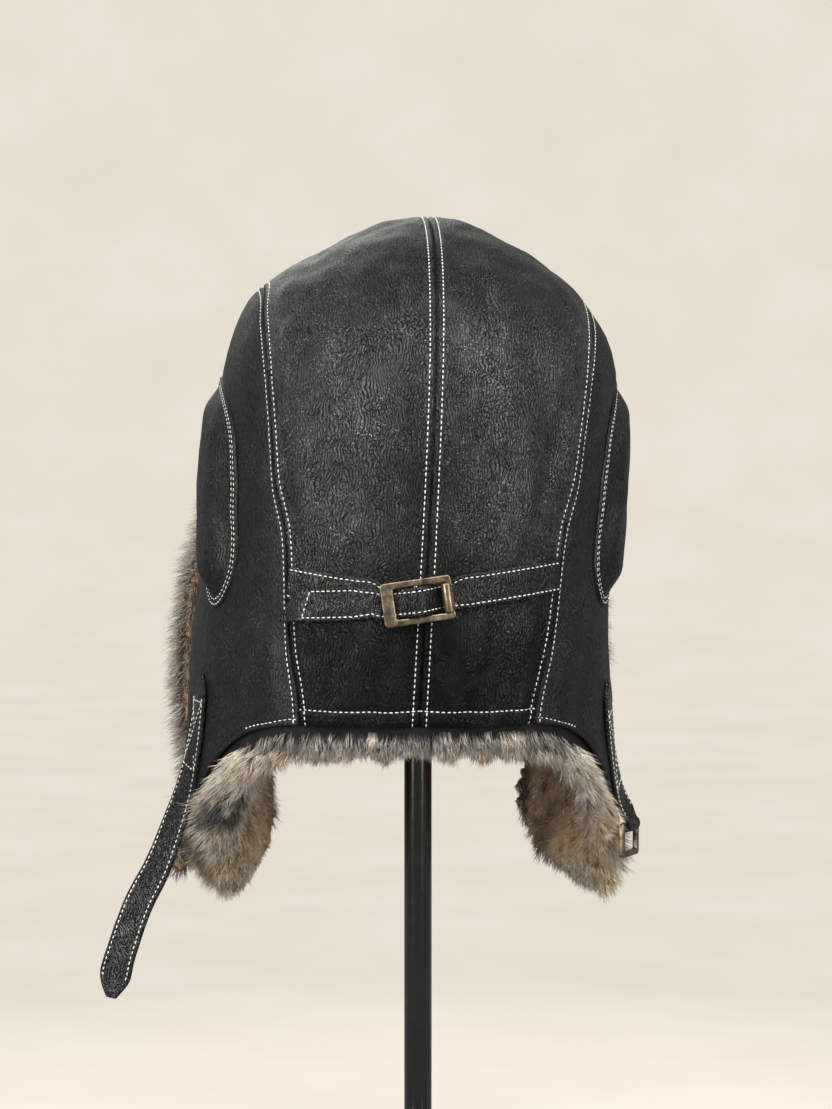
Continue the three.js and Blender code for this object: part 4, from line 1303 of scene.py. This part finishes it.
inner_w, inner_h = CHIN_FRAME_W - 2 * CHIN_BAR_W, CHIN_FRAME_H - 2 * CHIN_BAR_W
chin_plate = plate("chin_plate", rounded(CHIN_FRAME_W, CHIN_FRAME_H, 2.2), rounded(inner_w, inner_h, 0.9),
                   CHIN_FRAME_THICK, 0.6)
shift(chin_plate, 0, -CHIN_FRAME_H / 2 + CHIN_BAR)
place(chin_plate, BAR_WAY, (0, 0, 1), np.cross(BAR_WAY, (0, 0, 1)), BAR_CENTRE)
smooth(chin_plate, 35)
chin_plate.name = "chin_buckle_brass"
dress(chin_plate, BRASS, "chin_buckle", ("chin_buckle",))


# Fur


def sample(piece, count, seed, keep):
    """Random places on a piece, even by area, with their normals, in the hat's frame."""
    rng = np.random.default_rng(seed)
    mesh = piece.data
    mesh.calc_loop_triangles()
    tris = np.empty(len(mesh.loop_triangles) * 3, np.int32)
    mesh.loop_triangles.foreach_get("vertices", tris)
    tris = tris.reshape(-1, 3)
    points, normals = hat_points(piece), get_normals(piece)
    a, b, c = (points[tris[:, k]] for k in range(3))
    area = np.linalg.norm(np.cross(b - a, c - a), axis=1) / 2
    middle = (a + b + c) / 3
    face_normal = unit(np.cross(b - a, c - a))
    weight = area * keep(middle, face_normal)
    chosen = rng.choice(len(tris), size=count, p=weight / weight.sum())
    r1, r2 = np.sqrt(rng.random(count)), rng.random(count)
    w = np.column_stack([1 - r1, r1 * (1 - r2), r1 * r2])
    root = (points[tris[chosen]] * w[..., None]).sum(1)
    normal = unit((normals[tris[chosen]] * w[..., None]).sum(1))
    return root, normal, rng


def clumps(root, tip, rng, every, pull):
    """Draws the hairs' tips together into small locks."""
    n = len(root)
    chosen = rng.choice(n, max(1, n // every), replace=False)
    tree = KDTree(len(chosen))
    for k, i in enumerate(chosen):
        tree.insert(root[i], k)
    tree.balance()
    own = np.array([tree.find(p)[1] for p in root])
    share = pull * rng.uniform(0.5, 1.1, n)[:, None]
    return tip + (tip[chosen[own]] - tip) * share


def hairs(root, way, length, width, dye_at, rng, segments, curl=0.22, droop=0.15, every=14, pull=0.5, knee=0.5,
          taper=0.7):
    """A mesh of tapered hairs from their roots. dye_at gives the colour at a share of the length."""
    n = len(root)
    side = unit(np.cross(way, rng.normal(size=(n, 3))))
    across = np.cross(way, side)
    bend = side * rng.normal(0, curl, (n, 1)) + across * rng.normal(0, curl, (n, 1)) + np.array([0, 0, -droop])
    tip = clumps(root, root + (way + bend) * length[:, None], rng, every, pull)
    bend = (tip - root) / length[:, None] - way
    rows, shares = [], []
    for k in range(segments):
        t = k * knee
        centre = root + way * (length * t)[:, None] + bend * (length * t * t)[:, None]
        radius = width * (1 - taper * t) / 2
        for m in range(3):
            angle = 2 * math.pi * m / 3
            rows.append(centre + (side * math.cos(angle) + across * math.sin(angle)) * radius[:, None])
            shares.append(t)
    rows.append(tip)
    shares.append(1.0)
    per = 3 * segments + 1
    points = np.stack(rows, axis=1).reshape(-1, 3)
    faces = [(2, 1, 0)]
    for k in range(segments - 1):
        for m in range(3):
            a, b = 3 * k + m, 3 * k + (m + 1) % 3
            faces += [(a, b, b + 3), (a, b + 3, a + 3)]
    for m in range(3):
        faces.append((3 * (segments - 1) + m, 3 * (segments - 1) + (m + 1) % 3, per - 1))
    faces = np.array(faces)
    all_faces = (faces[None] + (np.arange(n) * per)[:, None, None]).reshape(-1, 3)
    colour = np.stack([dye_at(s) for s in shares], axis=1).reshape(-1, 3)
    return points, all_faces, colour


def set_dye(mesh, colours):
    """Gives each point of a mesh its colour."""
    dye = mesh.color_attributes.new("dye", "FLOAT_COLOR", "POINT")
    dye.data.foreach_set("color", np.column_stack([colours, np.ones(len(colours))]).astype(np.float32).ravel())


def hair_piece(name, layers):
    """One piece from layers of hairs, each with its points, faces and colours."""
    base, points, faces, colours = 0, [], [], []
    for p, f, c in layers:
        points.append(p)
        faces.append(f + base)
        colours.append(c)
        base += len(p)
    points, faces, colours = np.concatenate(points), np.concatenate(faces), np.concatenate(colours)
    mesh = bpy.data.meshes.new(name)
    mesh.vertices.add(len(points))
    mesh.vertices.foreach_set("co", to_world(points).astype(np.float32).ravel())
    mesh.loops.add(faces.size)
    mesh.loops.foreach_set("vertex_index", faces.astype(np.int32).ravel())
    mesh.polygons.add(len(faces))
    mesh.polygons.foreach_set("loop_start", np.arange(0, faces.size, 3, dtype=np.int32))
    mesh.polygons.foreach_set("loop_total", np.full(len(faces), 3, np.int32))
    mesh.polygons.foreach_set("use_smooth", np.ones(len(faces), bool))
    mesh.update(calc_edges=True)
    set_dye(mesh, colours)
    dress(new_object(name, mesh), FUR)


BLACK_ROOT = np.array([0.014, 0.014, 0.015])
BROWN = np.array([0.56, 0.36, 0.2])
GREY = np.array([0.9, 0.73, 0.56])
RUST = np.array([0.8, 0.44, 0.2])
CREAM = np.array([1.0, 0.92, 0.82])


def dyes(root, rng, tip_light, black, rust, root_dark, mid_black):
    """Colour of each hair by its share of length: dark root, mixed middle, light tip."""
    n = len(root)
    zone = ripple(root, 61, 26) * 0.55 + rng.normal(0, 0.25, n)
    warm = ripple(root, 62, 34) * 0.5 + rng.normal(0, 0.2, n) + rust
    grey = rise(zone, -0.6, 0.6)[:, None]
    mid = BROWN * (1 - grey) + GREY * grey
    red = rise(warm, 0.1, 0.8)[:, None]
    mid = mid * (1 - 0.75 * red) + RUST * 0.75 * red
    locks = np.clip(1 + 0.42 * ripple(root, 63, 7) + 0.22 * ripple(root, 64, 3.5), 0.4, 1.9)[:, None]
    mid = np.minimum(mid * locks * rng.uniform(0.85, 1.7, (n, 1)), 0.97)
    black = (np.asarray(black) * np.ones(n))[:, None]
    mid = mid * (1 - black) + BLACK_ROOT * 1.5 * black
    mid = mid * (1 - mid_black[:, None]) + BLACK_ROOT * mid_black[:, None]
    light = np.clip(tip_light + rng.normal(0, 0.22, n), 0, 1)[:, None] * (1 - 0.75 * black)
    tip = mid * (1 - light) + np.minimum(CREAM * rng.uniform(0.85, 1.2, (n, 1)), 1.0) * light

    # hair that's black at its foot changes colour only near its tip, some of it sooner
    late = np.clip(mid_black - 0.3 - 0.5 * np.maximum(ripple(root, 67, 5), 0), 0, 1)[:, None]

    def dye_at(share):
        if share <= root_dark:
            t = share / root_dark
            return mid * (0.45 + 0.3 * t)
        t = ((share - root_dark) / (1 - root_dark)) ** (0.6 + 3.6 * late)
        return mid * (1 - t) * (0.75 + 0.25 * t) + tip * t

    return dye_at


def edge_distance(p):
    """Signed distance in the side view to the leather's edge: positive below or past it."""
    flat = np.column_stack([EDGE_Y, -EDGE_DEPTH])[::6]
    best = np.full(len(p), 1e9)
    sign = np.ones(len(p))
    tangent = np.gradient(flat, axis=0)
    out = unit(np.column_stack([-tangent[:, 1], tangent[:, 0]]))
    for start in range(0, len(p), 20000):
        q = p[start:start + 20000, 1:3]
        d = np.linalg.norm(q[:, None, :] - flat[None], axis=2)
        k = d.argmin(1)
        best[start:start + 20000] = d[np.arange(len(q)), k]
        sign[start:start + 20000] = np.sign(((q - flat[k]) * out[k]).sum(1))
    return best * sign


def fur_black_shade_by_edge(root, normal, skin, beyond):
    """The hair next to the leather's edge is black up to its tips, less and less down the flaps: partly the
    fur's own black, partly painted shade under the leather's edge.
    """
    facing = rise((normal * skin).sum(1), -0.95, -0.5)
    return facing * (1 - rise(beyond, 6.0, 8.5)) * (1 - 0.8 * rise(-root[:, 2], 240, 262))


def core(node, voxel, shaped, edge_black_shade):
    """The pile's body: the CAD form remeshed, smoothed and reshaped, just inside the hair."""
    piece = copy_node(node, f"{node}_pile")
    apply_modifier(piece, "REMESH", mode="VOXEL", voxel_size=voxel * MM)
    apply_modifier(piece, "SMOOTH", factor=0.6, iterations=4)
    normal = get_normals(piece)
    root = shaped(hat_points(piece), normal)
    set_points(piece, to_world(root))
    # the pile's body is black by the leather's edge: partly the fur's own black, partly painted shade
    black = edge_black_shade * fur_black_shade_by_edge(root, normal, normal_at(root), edge_distance(root))[:, None]
    dye = BROWN * 0.7 * (1 - black) + BLACK_ROOT * 0.6 * black
    set_dye(piece.data, dye * (1 + 0.4 * ripple(root, 66, 12))[:, None])
    smooth(piece, 180)
    return dress(piece, UNDER_FUR, "hat", (node,))


def slimmer_brow(root, normal):
    """The brow's pile is slimmer inside the right flap."""
    depth = -root[:, 2]
    inner = rise(-(normal * normal_at(root)).sum(1), 0.0, 0.6)
    moved = root.copy()
    moved[:, 0] -= 7.0 * inner * rise(-root[:, 0], 30, 45) * rise(depth, 235, 255) * (1 - rise(depth, 280, 300))
    return moved


def fuller_flaps(root, normal):
    """The right flap's pile is slimmer towards the head, the left one's foot fuller and drawn inwards."""
    skin = normal_at(root)
    inner = rise(-(normal * skin).sum(1), 0.0, 0.6)
    depth = -root[:, 2]
    off = root[:, 0] - middle_at(depth)
    outer = rise(root[:, 0], 82, 100)
    right, left = rise(-off, 20, 50), rise(off, 20, 50)
    slim = 6.0 * right * inner * rise(depth, 236, 252) * (1 - rise(depth, 276, 298))
    full = 6.0 * left * inner * rise(depth, 250, 275) * (1 - 0.8 * np.exp(-((depth - 277) / 12) ** 2))
    full += 5.0 * right * inner * rise(depth, 284, 304)
    moved = root + skin * (slim - full)[:, None]
    moved[:, 0] -= left * (3.0 * rise(depth, 262, 295) + 7.0 * outer * rise(depth, 290, 306))
    moved[:, 0] -= 6.0 * right * rise(depth, 298, 308)
    return moved


lining = core("fur_lining", 3.5, fuller_flaps, edge_black_shade=1)
trim = core("fur_trim", 2.6, slimmer_brow, edge_black_shade=0)


def facing_out(middle, face_normal):
    return (face_normal * normal_at(middle)).sum(1)


def hair_layer(piece, count, seed, keep, comb, length, width, segments, tips, black=None, rust=None, spread=0.12,
               stand=0.7, dark_root=0.34, over_edge=2.0, edge_black_shade=None, **shape):
    """One layer of hair on a pile's body: how many, where, combed which way, how long and which colours."""
    root, normal, rng = sample(piece, count, seed, keep)
    beyond = edge_distance(root)
    skin = normal_at(root)
    way = unit(normal * stand + comb(root, normal, skin, beyond) + rng.normal(0, spread, (count, 3)))
    # hair behind the leather doesn't grow out through it
    outward = (way * skin).sum(1)
    hidden = (beyond < over_edge) & (outward > 0)
    way = unit(np.where(hidden[:, None], way - skin * (outward * 1.15)[:, None], way))
    # short on the side towards the head and at the flaps' feet
    short = 0.45 + 0.55 * rise((normal * skin).sum(1), -0.7, 0.0)
    short *= 1 - np.where(root[:, 0] > 0, 0.3, 0.1) * rise(-root[:, 2], 276, 296)
    size = length * short * rng.uniform(0.6, 1.15, count)
    # hair by the leather's edge is black: partly the fur's own black, partly painted shade
    black_shade_share = np.zeros(count) if edge_black_shade is None else edge_black_shade(root, normal, skin, beyond)
    uneven = 0.25 * ripple(root, 69, 5) * (black_shade_share > 0.1)
    black_shade_share = np.clip(black_shade_share * (1 + 0.35 * ripple(root, 68, 11)) + uneven, 0, 1)
    blackness = 0.0 if black is None else black(root)
    redness = 0.0 if rust is None else rust(root)
    dye = dyes(root, rng, tips(root, beyond), blackness, redness, dark_root, black_shade_share)
    sunk = root - normal * 0.7
    return hairs(sunk, way, size, width * rng.uniform(0.7, 1.3, count), dye, rng, segments, **shape)


def lining_region(region):
    """Where the lining has hair in a region: towards the head, and all round past the leather's edge."""
    def keep(middle, face_normal):
        beyond = edge_distance(middle)
        free = (facing_out(middle, face_normal) < 0.35) | (beyond > 1.0)
        return region(middle, beyond) * free
    return keep


def comb_down(amount):
    def comb(root, normal, skin, beyond):
        down = np.array([0, 0, -1.0])
        return (down - skin * (skin @ down)[:, None]) * amount
    return comb


def comb_nape(root, normal, skin, beyond):
    """Hair at the nape stands out past the edge and turns down."""
    out = skin * rise(beyond, -2, 4)[:, None]
    return out * 0.25 + np.array([0, 0, -1.1])


def comb_over(root, normal, skin, beyond):
    """Hair at a flap's rim stands out over the leather's edge, less so at the flap's foot."""
    high = (1 - rise(-root[:, 2], 276, 300))[:, None]
    left = (root[:, :1] > 0) * 1.0
    return skin * (0.2 + (0.8 + 0.9 * left) * high) + np.array([0, 0.3, -0.35])


NAPE_HALF_WIDTH, FLAP_TOP = 46.0, 205.0


def off_middle(p):
    return p[:, 0] - middle_at(-p[:, 2])


def flap_region(side):
    def region(p, beyond):
        on_flap = (off_middle(p) * side > NAPE_HALF_WIDTH) * (-p[:, 2] > FLAP_TOP)
        return on_flap * np.where(beyond > -45, 1.0, 0.3)
    return region


def at_nape(p, beyond):
    return (np.abs(off_middle(p)) <= NAPE_HALF_WIDTH + 1) & (p[:, 1] > 0) & (beyond > -20)


def nape_region(p, beyond):
    return at_nape(p, beyond) * 1.0


def inside_region(p, beyond):
    flap = (np.abs(off_middle(p)) > NAPE_HALF_WIDTH) & (-p[:, 2] > FLAP_TOP)
    return np.where(at_nape(p, beyond) | flap, 0.0, 1.0)


def rim_light(root, beyond):
    """Tips on the flaps are light, most of all right beside the leather's edge."""
    close = (1 - rise(beyond, 4.5, 7.5)) * (1 - rise(-root[:, 2], 245, 268)) * rise(beyond, -3, 0)
    return 0.42 + 0.2 * rise(beyond, -4, 3) + 0.6 * close


def nape_light(root, beyond):
    """Tips at the nape are white beside the leather's edge and brown further down."""
    return 0.25 + 1.1 * (1 - rise(beyond, 6.5, 9.5))


def even_light(amount):
    def light(root, beyond):
        return amount + 0 * beyond
    return light


def rim_region(side):
    """The flap's rim from behind the ear down and round its foot."""
    def region(p, beyond):
        return (off_middle(p) * side > 40) * (-p[:, 2] > 236) * (p[:, 1] > -45) * (beyond > 1.0) * 1.0
    return region


def black_patch(root):
    """A black tuft on the left flap's rim."""
    uneven = ripple(root, 65, 9) * 3.0
    spot = np.exp(-(((root[:, 0] - 90 + uneven) / 7) ** 4 + ((-root[:, 2] - 266 + uneven) / 9) ** 4))
    return np.clip(spot * 1.4, 0, 1)


def low_rust(root):
    """The flaps' feet are redder."""
    return 0.15 + 0.6 * rise(-root[:, 2], 272, 292)


nape = lining_region(nape_region)
hair_piece("fur_nape", [
    hair_layer(lining, 16500, 71, nape, comb_nape, 8.5, 0.38, 2, nape_light, spread=0.16, stand=0.35, curl=0.26,
               edge_black_shade=fur_black_shade_by_edge, dark_root=0.3, knee=0.55, taper=-0.1, every=20, pull=0.6),
])
for side, word, seed, rim_length, dark in ((1, "left", 72, 12.0, black_patch), (-1, "right", 73, 9.0, None)):
    flap, rim = lining_region(flap_region(side)), lining_region(rim_region(side))
    hair_piece(f"fur_flap_{word}", [
        hair_layer(lining, 16500, seed, flap, comb_down(0.8), 7.5, 0.4, 1, rim_light, dark, low_rust, curl=0.3,
                   pull=0.55, edge_black_shade=fur_black_shade_by_edge),
        hair_layer(lining, 5500, seed + 10, flap, comb_down(0.9), 9.0, 0.42, 2, rim_light, dark, low_rust,
                   every=12, edge_black_shade=fur_black_shade_by_edge),
        hair_layer(lining, 3800, seed + 20, rim, comb_over, rim_length, 0.42, 2, rim_light, dark, low_rust,
                   every=12, stand=0.3, droop=0.3),
    ])
hair_piece("fur_inside", [
    hair_layer(lining, 11000, 74, lining_region(inside_region), comb_down(0.5), 9.0, 0.7, 1, even_light(0.2),
               curl=0.3),
])


def trim_side(middle, face_normal):
    return np.where(facing_out(middle, face_normal) > -0.5, 1.0, 0.1)


# the brow's pile lies over the leather, so none of its hair counts as behind the edge
ANYWHERE = -1000.0


def trim_dark(root):
    """The brow's pile is darker under its tips, most of all at the temples."""
    return 0.3 + 0.35 * rise(-root[:, 2], 120, 170)


hair_piece("fur_trim_hair", [
    hair_layer(trim, 13500, 75, trim_side, comb_down(0.35), 10.5, 0.42, 1, even_light(0.6), trim_dark,
               stand=0.9, curl=0.3, over_edge=ANYWHERE),
    hair_layer(trim, 4200, 85, trim_side, comb_down(0.35), 12.5, 0.44, 2, even_light(0.6), trim_dark,
               stand=0.9, over_edge=ANYWHERE),
])


# Stand


def turned(name, node, radius, height, bottom, bevel, sides, paint):
    """A round part of the stand, upright on the middle line."""
    bpy.ops.object.select_all(action="DESELECT")
    bpy.ops.mesh.primitive_cylinder_add(
        vertices=sides, radius=radius * MM, depth=height * MM, location=(0, 0, (bottom + height / 2) * MM))
    piece = name_piece(name)
    only(piece)
    bpy.ops.object.transform_apply(location=True, rotation=True, scale=True)
    round_over(piece, bevel, 4, 60)
    smooth(piece, 35)
    dress(piece, paint, "hat", (node,))


turned("stand_base_disc", "stand_base", BASE_RADIUS, BASE_HEIGHT, 0, 1.6, 160, BASE_BLACK)
post_low, post_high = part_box("stand_post")
turned("stand_post_tube", "stand_post", POST_RADIUS, (post_high.z - post_low.z) / MM, post_low.z / MM, 0.3, 72,
       POST_BLACK)
top_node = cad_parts["stand_top"]
top_node.data.materials.clear()
top_node.data.materials.append(BASE_BLACK)


# Studio


def studio():
    """A pale floor that curves up all round, soft lights and the camera at the photograph's angle."""
    flat_radius, curve, wall_top, steps = 2.6, 1.4, 5.0, 96
    profile = [(0.0, 0.0), (flat_radius, 0.0)]
    for i in range(1, 13):
        a = math.radians(90 * i / 12)
        profile.append((flat_radius + curve * math.sin(a), curve - curve * math.cos(a)))
    profile.append((flat_radius + curve, wall_top))
    points = [(0, 0, 0)]
    faces = []
    for r, z in profile[1:]:
        points += [(r * math.cos(2 * math.pi * k / steps), r * math.sin(2 * math.pi * k / steps), z)
                   for k in range(steps)]
    for k in range(steps):
        faces.append((0, 1 + k, 1 + (k + 1) % steps))
        for r in range(len(profile) - 2):
            a = 1 + r * steps
            faces.append((a + k, a + steps + k, a + steps + (k + 1) % steps, a + (k + 1) % steps))
    backdrop = meshed("backdrop", points, faces)
    only(backdrop)
    bpy.ops.object.shade_smooth()
    f = Finish("warm_paper")
    paper = f.ramp(f.noise(7.0, 5, 0.6), (0.3, (0.775, 0.715, 0.61)), (0.7, (0.82, 0.76, 0.66)))
    f.drive(paper, "Emission Color")
    length = f.vectors("LENGTH", f.place).outputs["Value"]
    f.drive(f.ramp(length, (0.15, (0.22, 0.2, 0.175)), (0.6, (0.0, 0.0, 0.0))), "Base Color")
    f.set(Roughness=1.0, Specular_IOR_Level=0.0, Emission_Strength=1.0)
    backdrop.data.materials.append(f.material)
    backdrop.visible_diffuse = backdrop.visible_glossy = backdrop.visible_shadow = False

    world = bpy.data.worlds.new("studio_air")
    bpy.context.scene.world = world
    world.use_nodes = True
    air = world.node_tree.nodes["Background"]
    air.inputs["Color"].default_value = (1.0, 0.99, 0.97, 1)
    air.inputs["Strength"].default_value = 0.25

    target = Vector((0, 0, 0.3))
    for name, place_at, size, power in (
        ("soft_left", (1.3, 1.15, 0.75), (0.4, 1.5), 28),
        ("soft_right", (-0.95, 1.45, 0.75), (0.35, 1.5), 22),
        ("soft_top", (-0.1, 0.95, 1.85), (1.7, 0.9), 38),
        ("soft_front", (0.4, -1.6, 1.2), (1.4, 1.2), 6),
    ):
        light = bpy.data.lights.new(name, "AREA")
        light.shape = "RECTANGLE"
        light.size, light.size_y = size
        light.energy = power
        light.color = (1.0, 0.99, 0.97)
        lamp = new_object(name, light)
        lamp.location = place_at
        lamp.rotation_euler = (target - Vector(place_at)).to_track_quat("-Z", "Y").to_euler()

    camera_data = bpy.data.cameras.new("camera")
    camera_data.lens = 127.0
    camera_data.sensor_width = 36.0
    camera = new_object("camera", camera_data)
    aim = Vector((0.0009, 0, 0.295))
    azimuth, elevation, distance = math.radians(176), math.radians(3), 1.8
    camera.location = aim + distance * Vector(
        (math.sin(azimuth) * math.cos(elevation), -math.cos(azimuth) * math.cos(elevation),
         math.sin(elevation)))
    camera.rotation_euler = (aim - camera.location).to_track_quat("-Z", "Y").to_euler()
    bpy.context.scene.camera = camera
    bpy.context.scene.view_settings.view_transform = "Standard"


studio()
